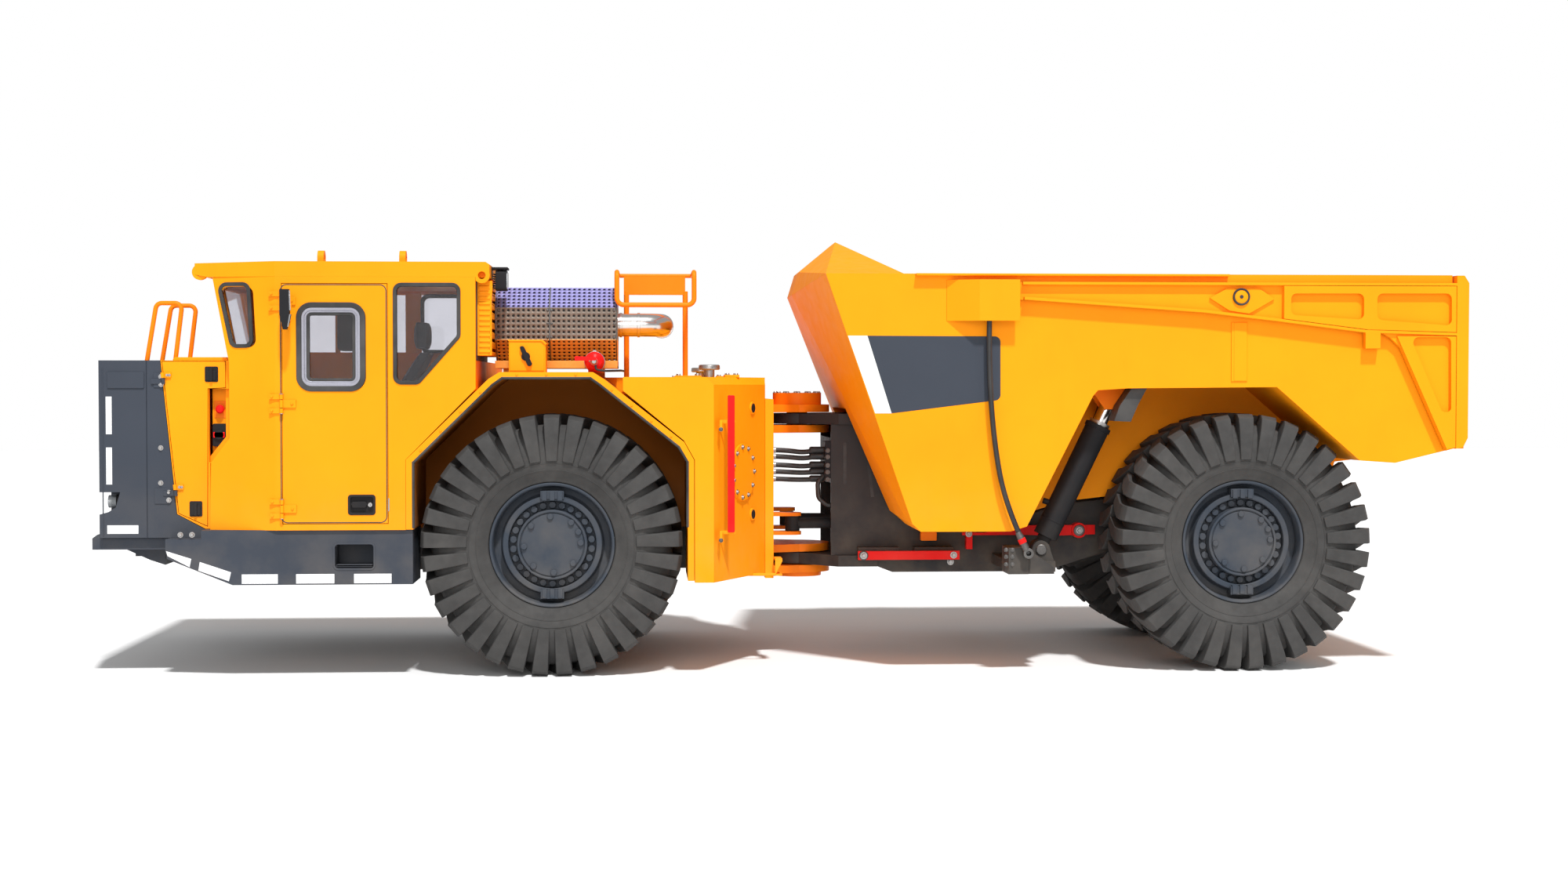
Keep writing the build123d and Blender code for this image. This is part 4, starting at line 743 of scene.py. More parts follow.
class TRUCK_OT_stage(TruckOperator, bpy.types.Operator):
    """Pale floor, soft studio light and the camera"""
    bl_idname = "truck.stage"
    bl_label = "Studio"

    def execute(self, context):
        studio = context.scene.truck_studio
        lens_data = bpy.data.cameras.new("Camera")
        lens_data.lens, lens_data.sensor_width = studio.focal_length, 36.0
        lens_data.clip_end = 200.0
        camera = add_object("Camera", lens_data)
        camera.location = CAMERA_AT
        camera.rotation_euler = [math.radians(a) for a in CAMERA_TURN]
        context.scene.camera = camera
        world = bpy.data.worlds.new("Soft surroundings")
        world.use_nodes = True
        sky = world.node_tree
        ground = sky.nodes["Background"]
        ground.inputs[0].default_value = (1.0, 1.0, 1.0, 1.0)
        rays = sky.nodes.new("ShaderNodeLightPath").outputs
        seen = sky.nodes.new("ShaderNodeMath")
        seen.operation = "MAXIMUM"
        sky.links.new(rays["Is Camera Ray"], seen.inputs[0])
        sky.links.new(rays["Is Transmission Ray"], seen.inputs[1])
        level = sky.nodes.new("ShaderNodeMapRange")
        level.inputs["To Min"].default_value, level.inputs["To Max"].default_value = studio.sky, 1.0
        sky.links.new(seen.outputs[0], level.inputs["Value"])
        sky.links.new(level.outputs["Result"], ground.inputs[1])
        context.scene.world = world
        context.scene.view_settings.view_transform = "Standard"
        for name, power, turn, angle in (("Key", studio.key_light, (30, 7, 0), 4),
                                         ("Fill", studio.key_light * 0.22, (72, -12, 0), 30)):
            light = bpy.data.lights.new(name, "SUN")
            light.energy, light.angle = power, math.radians(angle)
            add_object(name, light).rotation_euler = [math.radians(a) for a in turn]
        floor = Shape()
        floor.block((-FLOOR_REACH, FLOOR_REACH), (-FLOOR_REACH, FLOOR_REACH), (-40, -1))
        floor = add_object("Floor", floor.to_mesh("Floor"))
        r = Recipe("Pale studio floor")
        r.link("Base Color", r.mix(r.ramp(r.noise(0.5, 3), 0.3, 0.7), (0.86, 0.86, 0.86, 1),
                                   (0.90, 0.90, 0.895, 1)))
        r.link("Normal", r.bump(r.noise(40, 2), 0.0005, 0.2))
        r.fix(roughness=0.7)
        floor.data.materials.append(r.material)
        return {"FINISHED"}


class TRUCK_OT_finishes(TruckOperator, bpy.types.Operator):
    """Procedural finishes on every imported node"""
    bl_idname = "truck.finishes"
    bl_label = "Finishes"

    def execute(self, context):
        make_finishes(context.scene.truck_paint)
        slots = {part["node"]: part["material_slot"] for part in frame["record"]["subparts"]}
        for node, made in frame["nodes"].items():
            made.data.materials.clear()
            made.data.materials.append(FINISHES[CAD_FINISH[slots[node]]])
        for hand in ("left", "right"):
            frame["nodes"]["steer_rod_" + hand].data.materials[0] = FINISHES["black paint"]
        frame["nodes"]["cab_door"].data.materials[0] = FINISHES["door yellow"]
        return {"FINISHED"}


def lug_mesh(sweep, hand):
    """One tread lug about the wheel's centre, from the middle of the tread down to the sidewall."""
    path = [(1036, 12, 40, 1.0), (1038, 120, 56, 0.55), (1038, 250, 62, 0.10), (1034, 380, 62, 0.0),
            (1005, 425, 61, 0.0), (930, 439, 57, 0.0), (800, 439, 50, 0.0), (668, 433, 42, 0.0)]
    depth = [78, 82, 96, 120, 120, 96, 62, 34]
    ways = [(1, 0), (1, 0), (1, 0), (0.9, 0.43), (0.5, 0.87), (0.12, 0.99), (0, 1), (0, 1)]
    rings = []
    for (r, y, half, share), deep, (out, aside) in zip(path, depth, ways):
        ring = []
        for side, inward in ((-1, 0), (1, 0), (1, 1), (-1, 1)):
            radius = r - out * deep * inward
            angle = share * sweep + side * (half + 9 * inward) / r
            across = hand * (y - aside * deep * inward)
            ring.append((radius * math.sin(angle), across, radius * math.cos(angle)))
        rings.append(ring)
    lug = Shape()
    points = [p for ring in rings for p in ring]
    loops = [(0, 1, 2, 3), tuple(reversed(range(len(points) - 4, len(points))))]
    loops += [(4 * i + k, 4 * i + (k + 1) % 4, 4 * i + 4 + (k + 1) % 4, 4 * i + 4 + k)
              for i in range(len(rings) - 1) for k in range(4)]
    lug.faces(points, loops)
    return lug.to_mesh("lug")


class TRUCK_OT_tyres(TruckOperator, bpy.types.Operator):
    """Four lugged tyres, each a carcass with two rings of lugs"""
    bl_idname = "truck.tyres"
    bl_label = "Tyres"

    def execute(self, context):
        rule = context.scene.truck_tyre
        half = [(495, 330), (505, 352), (540, 366), (585, 392), (640, 412), (712, 419), (790, 405),
                (870, 378), (930, 335), (955, 280), (960, 150), (960, 0)]
        bead = [(495, 0)]
        profile = half + [(r, -y) for r, y in half[-2::-1]] + bead
        step = 2 * math.pi / rule.lugs
        for (end, hand), body in WHEELS.items():
            node = "tyre_{}_{}".format(end, hand)
            low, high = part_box(node)
            centre = (low + high) / 2
            carcass = Shape()
            carcass.turned(profile, sides=132)
            for radius in (598, 652):
                for side in (-1, 1):
                    y = side * (398 if radius == 598 else 415)
                    carcass.turned([(radius - 5, y - 4 * side), (radius, y + 5 * side),
                                    (radius + 5, y - 4 * side)], sides=132)
            parts = [carcass.to_mesh(node + "_carcass")]
            for side in (-1, 1):
                parts.append(baked(node + "_lugs", "ring", lug_mesh(rule.chevron, side), "tyre",
                                   Count=rule.lugs, Start=step / 2 if side == 1 else 0.0))
            mesh = joined(node + "_treads", parts)
            mesh.transform(Matrix.Translation(centre))
            made = finished(add_object("treads_{}_{}".format(end, hand), mesh), "tyre", body,
                            rule.lug_bevel / MM, 2, 40)
            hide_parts(node)
        return {"FINISHED"}


class TRUCK_OT_rims(TruckOperator, bpy.types.Operator):
    """Rims with their stepped hubs, nut rings, covers and rim clamps"""
    bl_idname = "truck.rims"
    bl_label = "Rims"

    def execute(self, context):
        rule = context.scene.truck_tyre
        face = [(0, 332), (120, 332), (200, 331), (246, 329), (249, 320), (255, 320), (258, 334), (270, 336),
                (277, 332), (280, 240), (284, 230), (344, 228), (348, 288), (354, 293), (388, 293),
                (394, 288), (400, 222), (412, 204), (450, 200), (463, 212), (469, 334), (475, 345),
                (483, 349), (492, 349), (495, 344), (495, 300), (470, 280), (466, 190), (462, 185),
                (462, -240), (470, -280), (495, -300), (495, -350), (440, -350), (440, 120), (290, 150),
                (240, -380), (152, -380), (152, 100), (0, 100)]
        for (end, hand), body in WHEELS.items():
            node = "rim_{}_{}".format(end, hand)
            out = LEFT if hand == "left" else RIGHT
            low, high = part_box("tyre_{}_{}".format(end, hand))
            centre = (low + high) / 2 / MM
            hub = Shape()
            hub.turned([(r, out * y) for r, y in face], centre, sides=96)
            for sign in (-1, 1):
                low_z, high_z = sorted((centre.z + sign * 362, centre.z + sign * 430))
                hub.block((centre.x - 93, centre.x + 93), (centre.y + out * 210, centre.y + out * 322),
                          (low_z, high_z))
                for x in (-62, 0, 62):
                    tooth = (centre.x + x - 19, centre.x + x + 19)
                    inner = centre.z + sign * 352
                    hub.block(tooth, (centre.y + out * 240, centre.y + out * 334),
                              tuple(sorted((inner, centre.z + sign * 424))))
            made = hub.piece("hub_{}_{}".format(end, hand), "hub grey", body, 2.5, 2, 30)
            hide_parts(node)
            ring = [((centre.x + 312 * math.sin(a), centre.y + out * 228, centre.z + 314 * math.cos(a)),
                     (0, out, 0)) for a in circle(rule.hub_nuts)]
            fasteners("hub_nuts_{}_{}".format(end, hand), ring, 50, body, "hub grey", 40, 28, 16)
            cover = [((centre.x + x * 0.75, centre.y + out * 331, centre.z + z * 0.75), (0, out, 0))
                     for x, z in ((-20, 300), (200, 235), (275, 135), (300, 20), (220, -195), (15, -295),
                                  (-198, -223), (-298, -17), (-222, 200))]
            fasteners("hub_bolts_{}_{}".format(end, hand), cover, 42, body, "hub grey", 17, 26, 16)
        return {"FINISHED"}


class TRUCK_OT_cab_windows(TruckOperator, bpy.types.Operator):
    """Gaskets of the cab's panes, frame and seals of the door, and the pillars seen through the glass"""
    bl_idname = "truck.cab_windows"
    bl_label = "Cab windows"

    def execute(self, context):
        face = CAB_WALL
        door = rounded(box_outline((-3797, -3262), (2256, 2951)), 118, 8)
        gasket = Shape()
        gasket.frame(door, shrunk(door, 42), (face - 9, face + 48))
        gasket.piece("door_gasket", "rubber", "cab_door", 4, 3)
        inner = shrunk(door, 41)
        bright = Shape()
        bright.frame(inner, shrunk(inner, 22), (face - 6, face + 26))
        bright.frame(shrunk(inner, 21), shrunk(inner, 38), (face + 2, face + 27))
        bright.piece("door_sliding_frame", "window frame", "cab_door", 2)
        dark = Shape()
        dark.frame(shrunk(inner, 37), shrunk(inner, 62), (face + 6, face + 29))
        dark.piece("door_inner_seal", "rubber", "cab_door", 2)
        seam = Shape()
        leaf = rounded(box_outline((DOOR.x0 + 3, DOOR.x1 - 3), (DOOR.z0 + 3, DOOR.z1 - 3)), 52, 6)
        seam.frame(leaf, shrunk(leaf, 8), (face - 0.8, face + 2))
        seam.piece("door_seam", "rubber", "cab_door", 0)
        pillars = Shape()
        opening = [(-2948, 3062), (-2552, 3062), (-2552, 2690), (-2660, 2572), (-2948, 2572)]
        pane = [(-2918, 3030), (-2580, 3030), (-2580, 2704), (-2672, 2600), (-2918, 2600)]
        pillars.frame(rounded(opening, 60), rounded(pane, 46), (-594, -560))
        pillars.prism(rounded(box_outline((-3610, -3350), (2588, 3080)), 34, 5), (-760, -600))
        pillars.piece("cab_inner_pillars", "cab plastic", "front_frame", 4, 3)
        post = Shape()
        post.prism(box_outline((-3650, -3612), (2570, 3070)), (-590, -562))
        post.prism(box_outline((-3072, -2940), (2570, 3070)), (-590, -562))
        post.prism([(-4260, 3070), (-4080, 3070), (-4040, 2575), (-4150, 2575)], (-590, -562))
        post.piece("cab_inner_post", "body yellow", "front_frame", 3)
        fixed = Shape()
        for points in ([(-4428, 3108), (-4157, 3109), (-4132, 2596), (-4318, 2596)],
                       [(-3050, 3105), (-2525, 3106), (-2525, 2682), (-2851, 2310), (-3050, 2310)]):
            outer = rounded(points, 66, 7)
            fixed.frame(outer, shrunk(outer, 30), (face - 9, face + 44), lean=corner_lean)
        fixed.piece("cab_gaskets", "rubber", "front_frame", 4, 3)
        return {"FINISHED"}


def corner_lean(x):
    """How far the cab's chamfered front corner stands back at a place."""
    return max(0.0, -3960 - x) * 0.2344


class TRUCK_OT_cab_fittings(TruckOperator, bpy.types.Operator):
    """Door handle, mirror glass, hinge pins, work lamp, louvre blades and small cab fittings"""
    bl_idname = "truck.cab_fittings"
    bl_label = "Cab fittings"

    def execute(self, context):
        face = CAB_WALL
        recess = rounded(box_outline((-3394, -3199), (1299, 1440)), 18, 4)
        handle = Shape()
        handle.frame(rounded(box_outline((-3404, -3190), (1290, 1450)), 24, 4),
                     rounded(box_outline((-3385, -3208), (1309, 1431)), 14, 4), (face - 5, face + 3))
        handle.prism(recess, (face + 18, face + 24))
        handle.prism(rounded(box_outline((-3372, -3262), (1348, 1396)), 10, 3), (face - 4, face + 10))
        handle.rod((-3380, face + 8, 1372), (-3255, face + 8, 1372), 11)
        handle.piece("door_handle", "black paint", "cab_door", 1.5)
        lock = Shape()
        lock.rod((-3232, face + 20, 1370), (-3232, face - 3, 1370), 17, 24)
        lock.block((-3236, -3228), (face - 7, face + 2), (1358, 1382))
        lock.block((-3092, -3082), (face - 3, face + 3), (1320, 1420))
        lock.piece("door_lock", "steel", "cab_door", 1.5)
        pins = Shape()
        for z in DOOR_HINGES:
            for low, high in ((z - 79, z - 74), (z + 74, z + 79)):
                pins.rod((-3910, face - 20, low), (-3910, face - 20, high), 17, 16)
        pins.piece("door_pin_heads", "steel", "front_frame", 1)
        leaves = outward(*((-3985, face - 12, z + high) for z in DOOR_HINGES for high in (-55, 55)))
        fasteners("door_hinge_bolts", leaves, 15, "front_frame", "body yellow")
        fasteners("door_leaf_bolts", outward(*((-3830, face - 12, z) for z in DOOR_HINGES)), 15,
                  "cab_door", "body yellow")
        mirror = Shape()
        mirror.prism([(-3824, 3034), (-3812, 3034), (-3808, 2882), (-3822, 2882)], (face - 186, face - 146))
        mirror.prism([(-3824, 2852), (-3808, 2852), (-3826, 2756), (-3838, 2756)], (face - 186, face - 146))
        mirror.prism([(-3886, 3036), (-3830, 3036), (-3826, 2862), (-3844, 2742), (-3864, 2742),
                      (-3886, 2852)], (face - 138.5, face - 137))
        mirror.piece("mirror_glass", "mirror", "cab_door", 0.6)
        lamp = Shape()
        lamp.block((-2330, -2170), (-1500, -1300), (3222, 3240))
        lamp.prism(rounded(box_outline((-1490, -1310), (3056, 3216)), 22, 4), (-2268, -2180), "x")
        for z in range(3075, 3200, 18):
            lamp.block((-2290, -2262), (-1480, -1320), (z, z + 7))
        lamp.rod((-2225, -1400, 3212), (-2225, -1400, 3232), 16)
        lamp.piece("rear_work_lamp", "black paint", "front_frame", 4, 3)
        pane = Shape()
        pane.prism(rounded(box_outline((-1478, -1322), (3070, 3202)), 16, 4), (-2182, -2174), "x")
        pane.piece("rear_work_lamp_lens", "lamp lens", "front_frame", 1.5)
        panel = Shape()
        panel.prism([(-2403, 3126), (-2284, 3126), (-2284, 3060), (-2318, 2538), (-2403, 2538)],
                    (-1604, -1599))
        blade = Shape()
        blade.prism([(0, 0), (0, 9), (-13, 21), (-13, 12)], (-1592, -528))
        slats = baked("louvre", "grid", blade.to_mesh("blade"), "body yellow", Count=1, Rows=14,
                      Step=(0, 0, 0), Row_Step=(0, 0, 0.0388))
        slats.transform(Matrix.Translation((-2.2905, 0, 2.556)))
        finished(add_object("louvre_blades", slats), "body yellow", "front_frame", 1)
        side_blade = Shape()
        side_blade.prism([(-1606, 0), (-1611, 3), (-1611, 12), (-1606, 26)], (-2388, -2302), "x")
        side_slats = baked("side_louvre", "grid", side_blade.to_mesh("blade"), "body yellow", Count=1,
                           Rows=13, Step=(0, 0, 0), Row_Step=(0, 0, 0.042))
        side_slats.transform(Matrix.Translation((0, 0, 2.560)))
        finished(add_object("louvre_side_blades", side_slats), "body yellow", "front_frame", 1)
        panel.piece("louvre_side", "body yellow", "front_frame", 2)
        gap = Shape()
        gap.block((-2412, -2402), (-1640, -500), (2500, 3120))
        gap.piece("louvre_seal", "rubber", "front_frame", 1.5)
        return {"FINISHED"}


class TRUCK_OT_front_box(TruckOperator, bpy.types.Operator):
    """Front box: reflectors, raised plates, latches, stop button, isolator, deck lid and headlamps"""
    bl_idname = "truck.front_box"
    bl_label = "Front box"

    def execute(self, context):
        side = SHELL.y0 + 34
        paper = trim().decal / MM
        marks = Shape()
        marks.prism(box_outline((-5306, -5260), (1921, 2216)), (side - paper, side + 1))
        marks.prism(box_outline((-5306, -5260), (1526, 1817)), (side - paper, side + 1))
        marks.prism(box_outline((-5301, -5060), (1138, 1205)), (side - paper, side + 1))
        marks.mirrored()
        marks.piece("nose_reflectors", "reflector", "front_frame", 0.4, 1)
        plates = Shape()
        plates.prism(rounded(box_outline((-5292, -5008), (2281, 2409)), 8), (side - 9, side + 1))
        plates.prism(rounded(box_outline((-4936, -4862), (2286, 2402)), 8), (side - 6, side + 1))
        plates.prism(rounded(box_outline((-4934, -4806), (1372, 1495)), 8), (side - 6, side + 1))
        plates.block((-5336, -5326), (side - 4, side + 1), (1120, 2440))
        plates.piece("nose_plates", "frame grey", "front_frame", 2.5, 3)
        latches = Shape()
        for (x0, x1), (z0, z1) in (((-4538, -4435), (2331, 2452)), ((-4663, -4564), (1272, 1393))):
            latches.prism(rounded(box_outline((x0, x1), (z0, z1)), 12), (side - 7, side + 1))
            latches.prism(rounded(box_outline((x0 + 14, x1 - 14), (z0 + 12, z1 - 34)), 8),
                          (side - 15, side - 6))
            latches.rod((x0 + 50, side, z1 - 20), (x0 + 50, side - 13, z1 - 20), 10, 16)
            middle = (x0 + x1) / 2
            latches.prism(rounded(box_outline((middle - 11, middle + 11), (z0 + 8, z1 - 16)), 6),
                          (side - 26, side - 12))
        latches.piece("hatch_latches", "black paint", "service_hatch", 2, 3)
        stop = Shape()
        stop.prism(rounded(box_outline((-4486, -4386), (2045, 2182)), 8), (-1404, -1396))
        stop.piece("stop_plate", "hinge orange", "front_frame", 1.5)
        button = Shape()
        button.turned([(0, -1452), (24, -1450), (34, -1440), (34, -1428), (18, -1424), (18, -1398),
                       (0, -1398)], (-4436, 0, 2116), "y", 32)
        button.prism(box_outline((-4484, -4396), (1892, 1936)), (-1462, -1448))
        button.piece("stop_button", "signal red", "front_frame", 2)
        isolator = Shape()
        isolator.prism(rounded(box_outline((-4492, -4388), (1822, 2002)), 14), (-1448, -1396))
        isolator.rod((-4440, -1446, 1914), (-4440, -1462, 1914), 38, 28)
        isolator.piece("battery_isolator", "black paint", "front_frame", 2, 3)
        lids = Shape()
        lids.prism([(-4792, 2499), (-4792, 2512), (-4772, 2526), (-4380, 2526), (-4366, 2512), (-4366, 2499)],
                   (-1470, -440))
        lids.piece("deck_lid", "body yellow", "front_frame", 3, 3)
        lamps = Shape()
        for y in (1210, 1330):
            lamps.turned([(0, -5259), (44, -5259), (53, -5263), (56, -5255), (56, -5196), (0, -5196)],
                         (0, y, 1385), "x", 40)
        lamps.mirrored()
        lamps.piece("headlamp_bezels", "black paint", "front_frame", 1.5)
        panes = Shape()
        for y in (1210, 1330):
            panes.turned([(0, -5270), (30, -5268), (47, -5260), (47, -5256), (0, -5256)],
                         (0, y, 1385), "x", 40)
        panes.mirrored()
        panes.piece("headlamp_lenses", "lamp lens", "front_frame", 0)
        front = side - 6
        spots = outward((-4876, front, 2372), (-4876, front, 2312), (-4822, front, 1462),
                        (-4822, front, 1402), (-4883, side, 1813), (-4885, side, 1537))
        fasteners("nose_bolts", spots, trim().bolt_across / MM, "front_frame")
        hinge = outward(*((hatch_edge(z) + across, side - 12, z + 24) for z in (1480, 2360)
                          for across in (30, 48)))
        fasteners("hatch_hinge_bolts", hinge, 13, "service_hatch")
        return {"FINISHED"}


def hatch_edge(z):
    """X of the service hatch's slanted hinge line at a level."""
    return -4873 + 123 * (2495 - z) / 1200


class TRUCK_OT_sill_marks(TruckOperator, bpy.types.Operator):
    """Reflective strips, bolts and the lined step pocket of the side sills"""
    bl_idname = "truck.sill_marks"
    bl_label = "Sills"

    def execute(self, context):
        side = SILL.y0
        paper = trim().decal / MM
        strips = Shape()
        for points in ([(-4856, 1014), (-4616, 952), (-4629, 887), (-4864, 975)],
                       [(-4551, 928), (-4311, 846), (-4328, 776), (-4562, 860)]):
            points = [(max(x, -4796 - (z - 950) * 0.30 + 6), z) for x, z in points]
            strips.prism(points, (side - paper, side + 1))
        for x in ((-4229, -3951), (-3810, -3514), (-3362, -3071)):
            strips.prism(box_outline(x, (755, 829)), (side - paper, side + 1))
        strips.mirrored()
        strips.piece("sill_reflectors", "reflector", "front_frame", 0.4, 1)
        pocket = Shape()
        outer = rounded(box_outline((-3524, -3196), (856, 1074)), 40, 6)
        pocket.frame(outer, shrunk(outer, 15), (side - 4, side + 2))
        for z in (872, 884, 896):
            pocket.block((-3500, -3220), (side + 6, side + 200), (z, z + 4))
        pocket.mirrored()
        pocket.piece("step_pockets", "frame grey", "front_frame", 2)
        spots = outward((-4698, side, 1140), (-4609, side, 1140))
        fasteners("sill_bolts", spots, 26, "front_frame", both_sides=True)
        return {"FINISHED"}


class TRUCK_OT_tank_trim(TruckOperator, bpy.types.Operator):
    """Side tanks: guard bars, round covers with their plugs and bolts, filler caps, top plates and steps"""
    bl_idname = "truck.tank_trim"
    bl_label = "Tanks"

    def execute(self, context):
        side = TANK.y0
        bar = Shape()
        bar.prism(rounded(box_outline((-434, -378), (1139, 2226)), 10, 3), (-1652, -1640))
        bar.mirrored()
        bar.piece("tank_guard_bars", "signal red", "front_frame", 2.5, 3)
        lugs = Shape()
        for z in (2016, 1138):
            lugs.prism([(-492, z - 15), (-372, z - 12), (-372, z + 12), (-492, z + 15)], (-1640, side + 70))
            lugs.block((-500, -478), (side - 3, side + 46), (z - 78, z + 15))
        lugs.mirrored()
        lugs.piece("tank_bar_brackets", "body yellow", "front_frame", 2.5, 2)
        chamfer_x, chamfer_y = 545, 910     # where the slanted face starts, and how far in it reaches
        slope = Vector((TANK.x1 + chamfer_x, chamfer_y, 0)).normalized()
        out = Vector((slope.y, -slope.x, 0))

        def slanted(x, z):
            return Vector((x, side + (chamfer_x + x) * chamfer_y / (chamfer_x + TANK.x1), z))

        middle = slanted(-300, 1600)
        cover, plugs = Shape(), Shape()
        cover.rod(middle - out * 8, middle + out * 16, 232, 64)
        for spot in (slanted(-211, 2119), slanted(-211, 1247)):
            cover.rod(spot - out * 5, spot + out * 12, 52, 32)
            plugs.rod(spot + out * 8, spot + out * 14, 38, 28)
        cover.mirrored()
        cover.piece("tank_covers", "body yellow", "front_frame", 3, 3, 30)
        plugs.mirrored()
        plugs.piece("tank_plugs", "black paint", "front_frame", 1.5)
        ring = [(middle + slope * (206 * math.cos(a)) + Vector((0, 0, 206 * math.sin(a))) + out * 16, out)
                for a in circle(11)]
        fasteners("tank_cover_bolts", ring, 24, "front_frame", both_sides=True)
        spots = outward((-489, side - 3, 1957), (-489, side - 3, 1080))
        fasteners("tank_bracket_bolts", spots, 20, "front_frame", "cast iron", both_sides=True)
        cap = Shape()
        cap.rod((-572, -1400, 2366), (-572, -1400, 2432), 42, 32)
        cap.turned([(0, 2470), (74, 2470), (84, 2464), (86, 2436), (78, 2428), (0, 2428)],
                   (-572, -1400, 0), "z", 40)
        cap.mirrored()
        cap.piece("filler_caps", "steel", "front_frame", 2)
        flange = Shape()
        flange.block((-850, -640), (-1600, -1200), (2368, 2382))
        flange.block((-440, -320), (-1180, -860), (2368, 2390))
        flange.mirrored()
        flange.piece("tank_top_plates", "body yellow", "front_frame", 3, 3)
        spots = [((x, y, 2382), (0, 0, 1)) for x in (-820, -670) for y in (-1570, -1400, -1230)]
        spots += [((x, y, 2390), (0, 0, 1)) for x in (-415, -345) for y in (-1150, -890)]
        fasteners("tank_top_bolts", spots, 24, "front_frame", both_sides=True)
        steps = Shape()
        y0, y1 = -1010, -810
        steps.block((-20, 39), (y0, y1), (860, 880))
        steps.prism([(-258, 737), (-20, 737), (39, 860), (39, 880), (-20, 880), (-20, 760), (-258, 760)],
                    (y0, y0 + 12))
        steps.block((-20, 39), (y0, y1), (737, 752))
        steps.mirrored()
        steps.piece("tank_steps", "body yellow", "front_frame", 2)
        return {"FINISHED"}


class TRUCK_OT_fender_trim(TruckOperator, bpy.types.Operator):
    """Front fenders: rubber lips, bolts, arch walls, electrical box with its switch, extinguisher fittings"""
    bl_idname = "truck.fender_trim"
    bl_label = "Fenders"

    def execute(self, context):
        near = FENDER.y0
        inner = [(-2900, 1185), (-2900, 1700), (-2280, 2310), (-2205, 2363), (-1515, 2363), (-1440, 2310),
                 (-820, 1820), (-750, 1700), (-750, 1185)]
        lip = Shape()
        for (x0, z0), (x1, z1) in zip(inner, inner[1:]):
            lip.rod((x0, near + 10, z0), (x1, near + 10, z1), 13, 14)
        for x, z in inner[1:-1]:
            lip.turned([(0, near - 3), (9, near), (13, near + 10), (9, near + 20), (0, near + 23)],
                       (x, 0, z), "y", 16)
        lip.mirrored()
        lip.piece("arch_seals", "rubber", "front_frame", 0, smooth=50)
        spots = []
        for (x0, z0), (x1, z1) in zip(inner, inner[1:]):
            a, b = Vector((x0, 0, z0)), Vector((x1, 0, z1))
            count = max(int((b - a).length / ARCH_PITCH), 1)
            away = (b - a).normalized().cross(Vector((0, 1, 0)))
            if away.z < 0 and abs(away.z) > 0.1:
                away = -away
            if abs(away.z) <= 0.1:
                away = Vector((-1 if x0 < -1800 else 1, 0, 0))
            for k in range(count):
                p = a.lerp(b, (k + 0.5) / count) + away * 25
                if abs(x1 - x0) > 80:
                    spots.append(((p.x, near, p.z), OUTWARD))
        fasteners("arch_bolts", spots, 13, "front_frame", "body yellow", both_sides=True)
        wall = Shape()
        wall.prism([(-2960, 1130), (-2960, 1715), (-2300, 2375), (-1430, 2375), (-800, 1860), (-700, 1715),
                    (-700, 1130)], (-752, -744))
        shut = [(-1825 + (x + 1825) * 0.993, 1100 + (z - 1100) * 0.993) for x, z in reversed(inner)]
        wall.prism(inner + shut, (near + 26, -748))
        wall.mirrored()
        # The arch walls take a brown that paints the shade inside the wheel arches.
        wall.piece("wheelhouse_walls", "painted shade brown", "front_frame", 0)
        box = Shape()
        face = -1562
        box.prism([(-2154, 2418), (-2154, 2640), (-1908, 2640), (-1882, 2616), (-1882, 2418)],
                  (face - 6, face + 4))
        box.prism([(-2164, 2652), (-2164, 2664), (-1896, 2664), (-1862, 2632), (-1872, 2624), (-1902, 2652)],
                  (face - 8, -1296))
        box.piece("electrical_box_lid", "body yellow", "front_frame", 3, 3)
        switch = Shape()
        switch.rod((-2026, face, 2532), (-2026, face - 22, 2532), 34, 32)
        switch.prism(rounded([(-2078, 2612), (-2042, 2614), (-1970, 2466), (-2006, 2450)], 16, 3),
                     (face - 34, face - 16))
        switch.piece("main_switch", "black paint", "front_frame", 2.5, 3)
        ball = Shape()
        x, z = -1487, 2492
        ball.turned([(0, -1666), (16, -1664), (22, -1656), (22, -1640), (30, -1636), (30, -1604), (0, -1604)],
                    (x, 0, z), "y", 28)
        ball.rod((x, -1622, z), (x - 40, -1622, z + 10), 13, 16)
        ball.piece("bottle_valve", "steel", "front_frame", 1)
        bands = Shape()
        for y in (-1500, -1340):
            bands.turned([(79, y + 4), (82.5, y + 4), (82.5, y + 36), (79, y + 36)], (x, 0, z), "y", 40)
            bands.block((x - 12, x + 12), (y + 6, y + 34), (z + 78, z + 92))
        bands.piece("bottle_bands", "steel", "front_frame", 0.8)
        lever = Shape()
        lever.prism(rounded([(x - 152, z + 4), (x - 152, z + 42), (x + 8, z + 36), (x + 22, z + 18),
                             (x + 8, z + 8)], 7, 3), (-1668, -1652))
        lever.piece("bottle_lever", "signal red", "front_frame", 0)
        pipe = Shape()
        pipe.tube([(x + 10, -1620, z - 20), (x + 14, -1626, z - 66), (x + 92, -1600, z - 74),
                   (x + 210, -1480, z - 70), (x + 230, -1380, z - 73)], 9, 50, 12, 8)
        pipe.piece("bottle_hose", "hose", "front_frame", 0)
        return {"FINISHED"}


